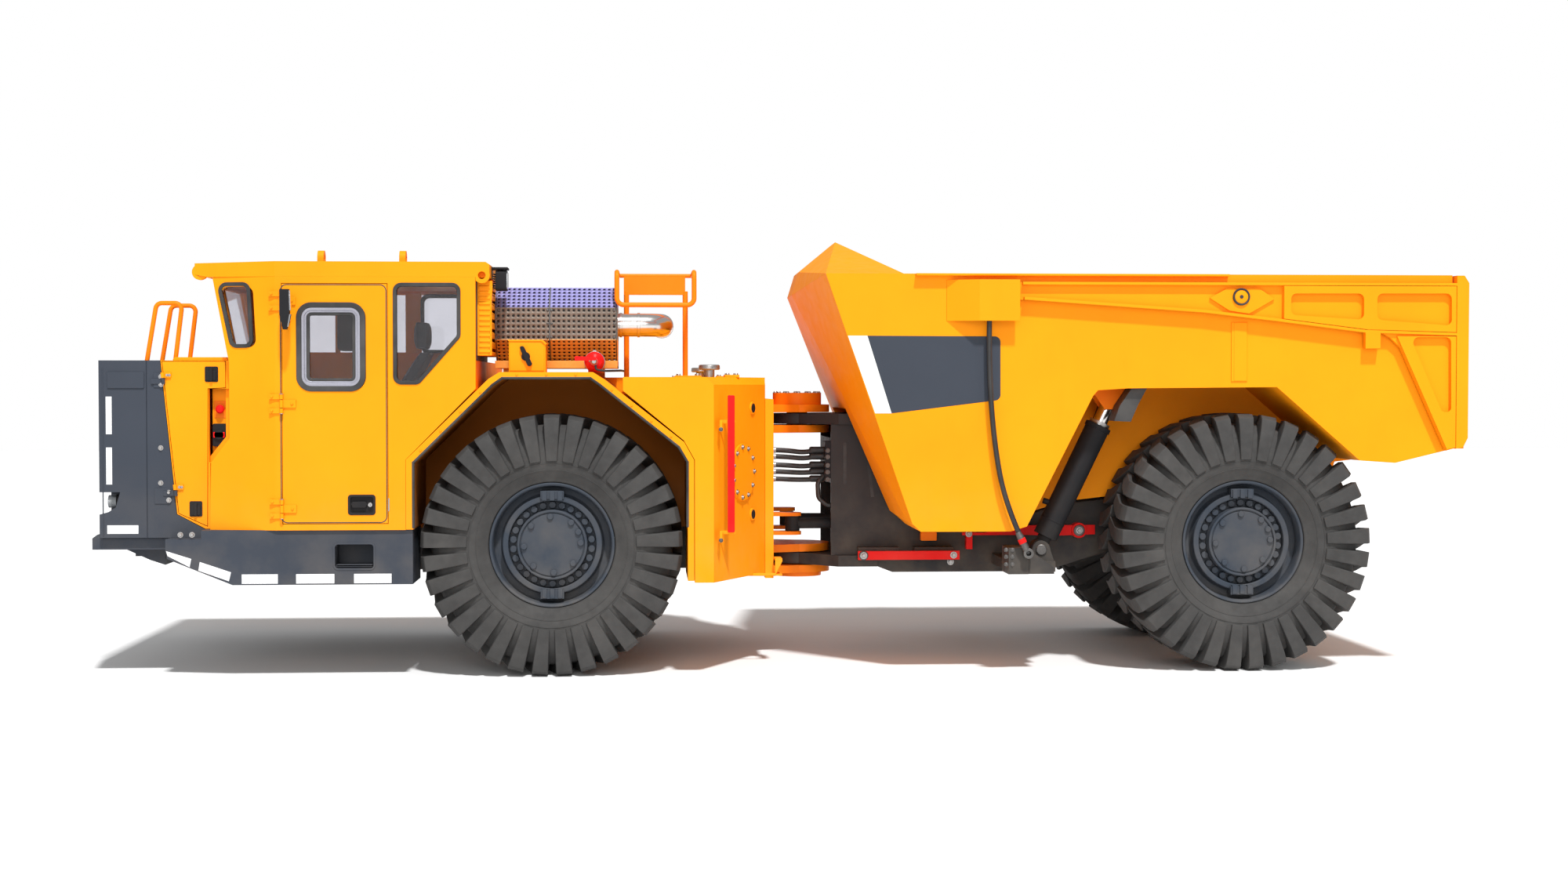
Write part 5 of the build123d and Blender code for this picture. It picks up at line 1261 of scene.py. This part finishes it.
def mesh_cell(length, height, radius):
    """A flat cell with an eight-sided hole, in the X-Z plane, its corner at the origin."""
    cell = bmesh.new()
    centre = Vector((length / 2, 0, height / 2))
    ring = [centre + Vector((radius * math.cos(a), 0, radius * math.sin(a)))
            for a in (math.pi * (2 * k + 1) / 8 for k in range(8))]
    rim = [Vector((length, 0, height / 2)), Vector((length, 0, height)), Vector((length / 2, 0, height)),
           Vector((0, 0, height)), Vector((0, 0, height / 2)), Vector((0, 0, 0)), Vector((length / 2, 0, 0)),
           Vector((length, 0, 0))]
    inner = [cell.verts.new(p * MM) for p in ring]
    outer = [cell.verts.new(p * MM) for p in rim]
    for k in range(8):
        j = (k + 1) % 8
        cell.faces.new((inner[k], inner[k - 1], outer[k]))
        cell.faces.new((inner[k], outer[k], outer[j]))
    mesh = bpy.data.meshes.new("cell")
    cell.to_mesh(mesh)
    cell.free()
    return mesh


class TRUCK_OT_silencer(TruckOperator, bpy.types.Operator):
    """Silencer: perforated shield, drum, end plates, base frame and the bright tail pipe"""
    bl_idname = "truck.silencer"
    bl_label = "Silencer"

    def execute(self, context):
        near, far, low, high, cut = -1250, -550, 2500, 3097, 168
        x0, x1 = -2283, -1314
        corners = [(near, low + cut), (near, high - cut), (near + cut, high), (far - cut, high),
                   (far, high - cut), (far, low + cut)]
        sheet = [(near + cut, low)] + corners + [(far - cut, low)]
        pitch = trim().mesh_pitch / MM
        count = round((x1 - x0) / pitch)
        flats = []
        for (ya, za), (yb, zb) in zip(sheet, sheet[1:]):
            run = math.hypot(yb - ya, zb - za)
            rows = max(round(run / pitch), 1)
            cell = mesh_cell((x1 - x0) / count, run / rows, trim().mesh_hole / MM)
            flat = baked("shield_flat", "grid", cell, "shield steel", Count=count, Rows=rows,
                         Step=((x1 - x0) / count * MM, 0, 0), Row_Step=(0, 0, run / rows * MM))
            turn = math.atan2(-(yb - ya), zb - za)
            flat.transform(Matrix.Translation(Vector((x0, ya, za)) * MM) @ Matrix.Rotation(turn, 4, "X"))
            flats.append(flat)
        mesh = joined("shield", flats, 2e-4)
        made = finished(add_object("silencer_shield", mesh), "shield steel", "front_frame", 0, smooth=25)
        wall = made.modifiers.new("Sheet", "SOLIDIFY")
        wall.thickness, wall.offset = 2.5 * MM, -1
        # A black block behind the perforations, which hides the drum: painted shade seen through the shield's
        # holes.
        hole_shade = Shape()
        closed = corners + [(far - cut, low), (near + cut, low)]
        hole_shade.prism(shrunk(closed, 16), (x0 + 12, x1 - 12), "x")
        hole_shade.piece("silencer_lagging", "rubber", "front_frame", 3)
        drum = Shape()
        drum.turned([(0, x0 + 25), (225, x0 + 25), (252, x0 + 50), (252, x1 - 50), (225, x1 - 25),
                     (0, x1 - 25)], DRUM, "x", 56)
        for x in (x0 + 250, (x0 + x1) / 2, x1 - 250):
            drum.turned([(250, x - 20), (258, x - 16), (258, x + 16), (250, x + 20)], DRUM, "x", 56)
        drum.piece("silencer_drum", "cast iron", "front_frame", 3, 2)
        ends = Shape()
        for x in (x0, x1):
            away = -7 if x == x0 else 7
            ends.prism(closed, (x, x + away), "x")
        seam = Shape()
        seam.frame(shrunk(closed, -2), shrunk(closed, 4), (-1857, -1847), "x")
        for x in (x0 + 3, x1 - 3):
            seam.frame(shrunk(closed, -1), shrunk(closed, 4), (x - 3, x + 3), "x")
        seam.piece("shield_seams", "cast iron", "front_frame", 0)
        base = rounded(box_outline((-2290, -1307), (2442, 2502)), 6)
        ends.prism(base, (near + 15, near + 30))
        ends.prism(base, (far - 30, far - 15))
        ends.block((-2290, -1307), (near + 16, far - 16), (2442, 2462))
        ends.prism(box_outline((near + 16, far - 16), (2445, 2502)), (-2290, -2280), "x")
        ends.prism(box_outline((near + 16, far - 16), (2445, 2502)), (-1317, -1307), "x")
        for x in (-2230, -1500):
            ends.block((x, x + 80), (-700, -600), (2368, 2445))
            ends.block((x, x + 80), (-1150, -1050), (2406, 2445))
        frame_made = ends.piece("silencer_frame", "shield steel", "front_frame", 2)
        pipe = Shape()
        pipe.tube([(-1315, PIPE_Y, PIPE_Z), (PIPE_X, PIPE_Y, PIPE_Z), (PIPE_X, -455, PIPE_Z)],
                  95, 170, 48, 16)
        for x in (-1296, -1150):
            pipe.turned([(94, x), (101, x + 3), (101, x + 22), (94, x + 25)], (0, PIPE_Y, PIPE_Z), "x", 48)
        pipe.turned([(88, -452), (95, -452), (100, -456), (100, -476), (88, -476)],
                    (PIPE_X, 0, PIPE_Z), "y", 48)
        pipe.piece("tail_pipe", "chrome", "front_frame", 0, smooth=40)
        mouth = Shape()
        mouth.rod((PIPE_X, -450.5, PIPE_Z), (PIPE_X, -450, PIPE_Z), 88, 40)
        mouth.piece("tail_pipe_mouth", "black paint", "front_frame", 0)
        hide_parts("silencer")
        bolts = outward(*((x, near - 1, z) for x in (-2262, -1868, -1836, -1334) for z in (2690, 2800, 2908)))
        fasteners("shield_bolts", bolts, 12, "front_frame", "cast iron")
        return {"FINISHED"}


def route_curve(name, route, steps):
    """An open curve of order three whose control points are the route."""
    curve = bpy.data.curves.new(name, "CURVE")
    curve.dimensions = "3D"
    spline = curve.splines.new("NURBS")
    spline.points.add(len(route) - 1)
    for point, place in zip(spline.points, route):
        point.co = (*(part * MM for part in place), 1.0)
    spline.order_u, spline.use_endpoint_u, spline.resolution_u = 3, True, steps
    return curve


def spline_points(route, steps=8):
    """Points along the curve that a route pulls."""
    curve = route_curve("route", route, steps)
    holder = add_object("route", curve)
    line = bpy.data.meshes.new_from_object(holder.evaluated_get(bpy.context.evaluated_depsgraph_get()))
    points = [v.co / MM for v in line.vertices]
    bpy.data.objects.remove(holder)
    bpy.data.curves.remove(curve)
    bpy.data.meshes.remove(line)
    return points


def line_length(points):
    return sum((b - a).length for a, b in zip(points, points[1:])) * MM


class TRUCK_OT_crossing_hoses(TruckOperator, bpy.types.Operator):
    """Hydraulic hoses over the articulation and their fittings"""
    bl_idname = "truck.crossing_hoses"
    bl_label = "Crossing hoses"

    def execute(self, context):
        first = None
        for row, z in enumerate(HOSE_LEVELS):
            sag = 8 + 3 * row
            route = [(-16, -400, z), (40, -400, z), (140, -400 - sag, z - 6), (250, -404 - sag, z - sag),
                     (350, -402, z - 5), (432, -400, z)]
            line = spline_points(route)
            shape = Shape()
            shape.tube(line, 21, 0, 16, 0)
            hose = finished(add_object("crossing_hose_{}".format(row + 1), shape.to_mesh("hose")), "hose",
                            None, smooth=60)
            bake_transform(hose)
            fittings = Shape()
            tip = Vector(line[0])
            fittings.rod(tip, tip + Vector((38, 0, 0)), 24, 20)
            fittings.rod(tip, tip + Vector((18, 0, 0)), 31, 6)
            front = fittings.piece("front_hose_fitting_{}".format(row + 1), "steel", "front_frame", 1.2)
            fittings = Shape()
            tip = Vector(line[-1])
            fittings.rod(tip, tip - Vector((112, 0, 0)), 29, 24)
            fittings.rod(tip - Vector((112, 0, 0)), tip - Vector((124, 0, 0)), 29, 24, 22)
            rear = fittings.piece("rear_hose_sleeve_{}".format(row + 1), "hose", "rear_frame", 1.2)
            [c * MM for c in line[0]]
            line_length(line)
            [tuple(c * MM for c in p) for p in line]
            first = first or hose
        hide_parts("crossing_hoses")
        return {"FINISHED"}


class TRUCK_OT_hinge_trim(TruckOperator, bpy.types.Operator):
    """Articulation: pin cover with its bolts, painted shade in the tower slots, stiffeners and pad, hose
    ports and hoses
    """
    bl_idname = "truck.hinge_trim"
    bl_label = "Articulation"

    def execute(self, context):
        x = PIVOT_X
        caps = Shape()
        top = FORKS.z1
        caps.turned([(0, top + 1), (150, top + 1), (165, top - 6), (165, top - 40), (0, top - 40)],
                    (x, 0, 0), "z", 56)
        caps.piece("pin_cover", "hinge orange", "front_frame", 3, 2)
        ring = [((x + 188 * math.cos(a), 188 * math.sin(a), top), (0, 0, 1)) for a in circle(12)]
        fasteners("pin_cover_bolts", ring, 26, "front_frame", height=14)
        # Thin black sheets on the tower face: painted shade inside its slots.
        slots = Shape()
        face = -560
        slots.prism(rounded(box_outline((584, 611), (1467, 1823)), 13, 5), (face - 1.2, face + 2))
        slots.prism([(768, 1790), (790, 1790), (846, 1364), (820, 1360)], (face - 1.2, face + 2))
        slots.piece("tower_slots", "rubber", "rear_frame", 0)
        bars = Shape()
        bars.prism([(838, 1968), (864, 1968), (1186, 1140), (1160, 1130)], (face - 8, face + 4))
        bars.piece("tower_stiffeners", "tower grey", "rear_frame", 2.5)
        pad = Shape()
        pad.prism(rounded(box_outline((1236, 1372), (993, 1065)), 8), (face - 60, face + 2))
        pad.piece("tower_pad", "hinge orange", "rear_frame", 3, 3)
        sleeves = Shape()
        for z in HOSE_LEVELS:
            sleeves.rod((444, -520, z), (452, -570, z), 20, 20)
        sleeves.piece("manifold_ports", "cast iron", "rear_frame", 1)
        loops = Shape()
        for k, y in enumerate((-470, -440)):
            loops.tube([(436, y, 1540 - 20 * k), (372, y - 30, 1490), (378, y - 42, 1350),
                        (452, y - 40, 1292), (560, y - 40, 1286)], 19, 70, 16, 10)
        loops.piece("steering_hoses", "hose", "rear_frame", 0)
        return {"FINISHED"}


class TRUCK_OT_pull_ropes(TruckOperator, bpy.types.Operator):
    """Sleeved ropes that lift the tailgate, with their red and bright end fittings"""
    bl_idname = "truck.pull_ropes"
    bl_label = "Pull ropes"

    def execute(self, context):
        for hand in ("left", "right"):
            node = "pull_cable_" + hand
            low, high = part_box(node)
            y = (low.y + high.y) / 2 / MM
            route = [(ANCHOR_X, y, ANCHOR_Z), (1770, y, 1330), (1665, y, 1900), (1625, y, 2600),
                     (1640, y, 3060)]
            curve = route_curve(node + "_rope", route, 12)
            curve.bevel_depth, curve.bevel_resolution, curve.use_fill_caps = 0.021, 5, True
            rope = add_object(node + "_rope", curve)
            curve.materials.append(FINISHES["hose"])
            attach(rope, node)
            line = spline_points(route, 12)
            ends, bands = Shape(), Shape()
            for tip, near in ((line[0], line[1]), (line[-1], line[-2])):
                way = (near - tip).normalized()
                bands.rod(tip + way * 92, tip + way * 132, 32, 24)
                ends.turned([(20, y - 22), (40, y - 22), (42, y - 20), (42, y + 20), (40, y + 22),
                             (20, y + 22)], (tip.x, 0, tip.z), "y", 32)
                ends.rod(tip + way * 34, tip + way * 150, 29, 24)
                ends.rod(tip + way * 150, tip + way * 190, 29, 24, 23)
            eyes = ends.piece(node + "_eyes", "cast iron", node, 1.5)
            red = bands.piece(node + "_bands", "signal red", node, 1.5)
            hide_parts(node)
            line_length(line)
        return {"FINISHED"}


class TRUCK_OT_lock_and_prop(TruckOperator, bpy.types.Operator):
    """Bosses of the lock bar and the body prop, and the pins and bolts of the rope anchors"""
    bl_idname = "truck.lock_and_prop"
    bl_label = "Lock bar and prop"

    def execute(self, context):
        y = -752
        boss = Shape()
        boss.turned([(0, y - 6), (34, y - 6), (40, y), (40, y + 12), (0, y + 12)], (738, 0, 880), "y", 32)
        boss.turned([(0, -676), (44, -676), (50, -668), (50, -640), (0, -640)], (2578, 0, 1078), "y", 36)
        boss.piece("lock_boss", "cast iron", "rear_frame", 2)
        spots = outward((1497, y, 881), (738, y - 6, 880), (2578, -676, 1078), (1640, -652, 1052),
                        (1497, -562, 810))
        fasteners("lock_bolts", spots, 34, "rear_frame")
        grid = outward(*((x, -1720, z) for x in (1780, 1830) for z in (880, 940, 995)))
        fasteners("anchor_bolts", grid, 20, "rear_frame", "cast iron", both_sides=True)
        caps = Shape()
        caps.turned([(0, -1722), (26, -1722), (32, -1716), (32, -1704), (0, -1704)],
                    (ANCHOR_X, 0, ANCHOR_Z), "y", 28)
        caps.mirrored()
        caps.piece("anchor_pins", "signal red", "rear_frame", 1.5)
        return {"FINISHED"}


class TRUCK_OT_bed_marks(TruckOperator, bpy.types.Operator):
    """Dump body: white stripe, grey panel, flange under the rim, wear straps and their welds"""
    bl_idname = "truck.bed_marks"
    bl_label = "Dump body marks"

    def execute(self, context):
        side = BED.y0
        paper = trim().decal / MM
        stripe = Shape()
        stripe.prism([(516, 2697), (671, 2697), (865, 2082), (733, 2082)], (side - paper, side + 1))
        stripe.mirrored()
        stripe.piece("bed_stripe", "white stripe", "dump_body", 0.3, 1)
        patch = Shape()
        corners = [(671, 2697), (1733, 2693), (1735, 2189), (865, 2082)]
        rear = sorted((p for p in rounded(corners, 46, 7) if p[0] > 1500), key=lambda p: -p[1])
        patch.prism([corners[0]] + rear + [corners[3]], (side - paper, side + 1))
        patch.mirrored()
        patch.piece("bed_panel", "frame grey", "dump_body", 0.3, 1)
        rim = Shape()
        inner = 4 - BODY_SIDE
        rim.prism([(inner, 3190), (inner, 3171), (-1758, 3171), (-1762, 3176), (-1762, 3190)],
                  (1052, 3566), "x")
        rim.mirrored()
        rim.piece("bed_rim_flange", "body yellow", "dump_body", 3, 2)
        strap = Shape()
        strap.prism(box_outline((3616, 3720), (2340, 2804)), (side - 11, side - 4))
        strap.mirrored()
        strap.piece("wear_straps", "body yellow", "dump_body", 2)
        welds = Shape()
        for x in (3614, 3722):
            welds.rod((x, side - 2, 2336), (x, side - 2, 2808), 5, 8)
        welds.mirrored()
        welds.piece("wear_pad_welds", "body yellow", "dump_body", 0)
        return {"FINISHED"}


class TRUCK_OT_tailgate_trim(TruckOperator, bpy.types.Operator):
    """Tailgate arms: plates with pressed pockets, and the pivots' rings and pins"""
    bl_idname = "truck.tailgate_trim"
    bl_label = "Tailgate"

    def execute(self, context):
        y = ARM_FACE
        x, z = 3660, 3010
        plates = Shape()
        for outer, pocket in (
                ([(4003, 3098), (4707, 3098), (4707, 2748), (4003, 2836)],
                 [(4060, 3037), (4652, 3038), (4653, 2829), (4061, 2866)]),
                ([(4707, 3098), (5408, 3098), (5408, 2730), (4707, 2750)],
                 [(4762, 3038), (5369, 3040), (5371, 2782), (4763, 2829)]),
                ([(4925, 2698), (5408, 2696), (5408, 1806), (5338, 1790)],
                 [(5034, 2690), (5366, 2691), (5371, 2088), (5297, 2088)])):
            plates.frame(rounded(outer, 2, 5), rounded(pocket, 44, 5), (y - 20, y + 2))
        plates.mirrored()
        plates.piece("gate_pocket_plates", "body yellow", "tailgate", 3)
        ring = Shape()
        ring.turned([(54, y + 2), (54, y - 15), (58, y - 17), (66, y - 17), (69, y - 14), (69, y + 2)],
                    (x, 0, z), "y", 48)
        # The black centre boss stands for the pin's centre hole: painted shade.
        ring.turned([(0, y - 19), (13, y - 19), (15, y - 17), (15, y - 8), (0, y - 8)], (x, 0, z), "y", 32)
        ring.mirrored()
        ring.piece("gate_pivot_rings", "rubber", "dump_body", 1.5)
        pin = Shape()
        pin.turned([(0, y - 14), (48, y - 14), (54, y - 11), (54, y + 2), (0, y + 2)], (x, 0, z), "y", 48)
        pin.mirrored()
        pin.piece("gate_pivot_pins", "body yellow", "dump_body", 1.5)
        return {"FINISHED"}


class TRUCK_OT_cylinders(TruckOperator, bpy.types.Operator):
    """Gland rings, ports and pins of the hoist and steering cylinders"""
    bl_idname = "truck.cylinders"
    bl_label = "Cylinders"

    def execute(self, context):
        for hand, side in (("left", LEFT), ("right", RIGHT)):
            foot = Vector((HOIST_FOOT_X, side * HOIST_Y, HOIST_FOOT_Z))
            head = Vector((2700, side * HOIST_Y, 2170))
            way = (head - foot).normalized()
            glands = Shape()
            glands.rod(foot + way * 1085, foot + way * 1121, 108, 40)
            glands.rod(foot + way * 250, foot + way * 262, 103, 40)
            port = foot + way * 420
            glands.rod(port + Vector((-92, 0, 0)), port + Vector((-150, 0, 18)), 24)
            glands.piece("hoist_gland_" + hand, "black paint", "hoist_tube_" + hand, 2)
            collar = Shape()
            collar.rod(foot + way * 1125, foot + way * 1151, 86, 36)
            collar.piece("hoist_collar_" + hand, "steel", "hoist_stage_" + hand, 1.5)
            base, eye = Vector((1100, side * 300, 1130)), Vector((165, side * 380, 1130))
            way = (eye - base).normalized()
            nut = Shape()

            def above(along, height):
                return base + way * along + Vector((0, 0, height))

            nut.rod(above(62, 0), above(88, 0), 80, 36)
            nut.rod(above(540, 70), above(540, 120), 20, 20)
            nut.tube([above(540, 112), above(470, 112), above(230, 108), above(190, 74)], 14, 30, 14)
            nut.piece("steer_gland_" + hand, "black paint", "steer_tube_" + hand, 1.5)
        pins = Shape()
        for y in (-HOIST_Y - 105, -HOIST_Y + 105):
            pins.turned([(0, y - 9), (38, y - 9), (46, y - 3), (46, y + 3), (38, y + 9), (0, y + 9)],
                        (HOIST_FOOT_X, 0, HOIST_FOOT_Z), "y", 32)
        pins.mirrored()
        pins.piece("hoist_foot_pins", "cast iron", "rear_frame", 1)
        return {"FINISHED"}


class TRUCK_OT_seat(TruckOperator, bpy.types.Operator):
    """Driver's seat on its pedestal, and the top of the seat behind it"""
    bl_idname = "truck.seat"
    bl_label = "Seat"

    def execute(self, context):
        floor = CAB_FLOOR
        cushion = pillow("seat_cushion", (-3645, -3155), (-1255, -805), (floor + 425, floor + 538), 2)
        back = pillow("seat_back", (-3248, -3124), (-1235, -825), (floor + 545, floor + 1175), 0)
        rest = pillow("trainer_headrest", (-2954, -2820), (-1130, -880), (2598, 2814), 0)
        support = pillow("trainer_back", (-2915, -2785), (-1200, -810), (2060, 2572), 0, 0.6)
        stand = Shape()
        stand.block((-3560, -3240), (-1180, -880), (floor, floor + 60))
        stand.turned([(0, floor + 60), (120, floor + 60), (90, floor + 360), (0, floor + 360)],
                     (-3400, -1030, 0), "z", 28)
        stand.block((-3560, -3240), (-1190, -870), (floor + 360, floor + 420))
        for y in (-1045, -965):
            stand.rod((-2860, y, 2520), (-2890, y, 2640), 9, 12)
        stand.prism([(-3180, 2040), (-3090, 1990), (-3060, 1700), (-3150, 1700)], (-1160, -850))
        made = stand.piece("seat_stand", "cab plastic", "front_frame", 6, 3)
        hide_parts("cab_seat")
        return {"FINISHED"}


def pillow(name, x, y, z, deep, lean=0.0):
    """A crowned form, thin along one axis, whose sides pull in, with sewn channels; it may lean back."""
    low, high = Vector((x[0], y[0], z[0])), Vector((x[1], y[1], z[1]))
    middle, half = (low + high) / 2, (high - low) / 2
    form = bmesh.new()
    bmesh.ops.create_cube(form, size=2.0)
    bmesh.ops.subdivide_edges(form, edges=form.edges, cuts=11, use_grid_fill=True)
    axes = [a for a in range(3) if a != deep]
    for v in form.verts:
        u = v.co.copy()
        crown = (1 - u[axes[0]] ** 4) * (1 - u[axes[1]] ** 4)
        channel = 0.0
        if abs(u[deep]) > 0.5:
            channel = 0.10 * max(0.0, 1 - abs(((u[axes[0]] * 2.5) % 1) - 0.5) / 0.16)
        u[deep] *= 0.62 + 0.38 * crown - channel * crown
        for a in axes:
            other = axes[1] if a == axes[0] else axes[0]
            u[a] *= 0.985 - 0.035 * (1 - v.co[other] ** 2) + 0.012 * (1 - v.co[deep] ** 2)
        v.co = (middle + Vector(u[i] * half[i] for i in range(3))) * MM
        v.co.x += lean * (v.co.z - high.z * MM)
    bmesh.ops.recalc_face_normals(form, faces=form.faces)
    mesh = bpy.data.meshes.new(name)
    form.to_mesh(mesh)
    form.free()
    made = finished(add_object(name, mesh), "seat cloth", "front_frame", 0, smooth=80)
    soft = made.modifiers.new("Soft", "SUBSURF")
    soft.levels = soft.render_levels = 1
    return made


SETTINGS = (("truck_paint", PaintSettings), ("truck_tyre", TyreSettings), ("truck_trim", TrimSettings),
            ("truck_studio", StudioSettings))
OPERATORS = (TRUCK_OT_finishes, TRUCK_OT_stage, TRUCK_OT_pull_ropes, TRUCK_OT_crossing_hoses, TRUCK_OT_tyres,
             TRUCK_OT_rims, TRUCK_OT_cab_windows, TRUCK_OT_cab_fittings, TRUCK_OT_seat, TRUCK_OT_front_box,
             TRUCK_OT_sill_marks, TRUCK_OT_tank_trim, TRUCK_OT_fender_trim, TRUCK_OT_silencer,
             TRUCK_OT_hinge_trim, TRUCK_OT_lock_and_prop, TRUCK_OT_cylinders, TRUCK_OT_bed_marks,
             TRUCK_OT_tailgate_trim)


class TRUCK_PT_panel(bpy.types.Panel):
    """Lists the truck's settings and the steps that dress it"""
    bl_idname = "TRUCK_PT_panel"
    bl_label = "Dump Truck"
    bl_space_type = "VIEW_3D"
    bl_region_type = "UI"
    bl_category = "Truck"

    def draw(self, context):
        for name, group in SETTINGS:
            column = self.layout.box().column()
            for field in group.__annotations__:
                column.prop(getattr(context.scene, name), field)
        column = self.layout.column()
        for operator in OPERATORS:
            column.operator(operator.bl_idname)


def register():
    for name, group in SETTINGS:
        bpy.utils.register_class(group)
        setattr(bpy.types.Scene, name, bpy.props.PointerProperty(type=group))
    for operator in OPERATORS:
        bpy.utils.register_class(operator)
    bpy.utils.register_class(TRUCK_PT_panel)


def unregister():
    bpy.utils.unregister_class(TRUCK_PT_panel)
    for operator in reversed(OPERATORS):
        bpy.utils.unregister_class(operator)
    for name, group in reversed(SETTINGS):
        delattr(bpy.types.Scene, name)
        bpy.utils.unregister_class(group)


def main():
    register()
    for operator in OPERATORS:
        family, name = operator.bl_idname.split(".")
        if getattr(getattr(bpy.ops, family), name)() != {"FINISHED"}:
            raise RuntimeError(operator.bl_label + " did not finish")


if __name__ == "__main__":
    main()
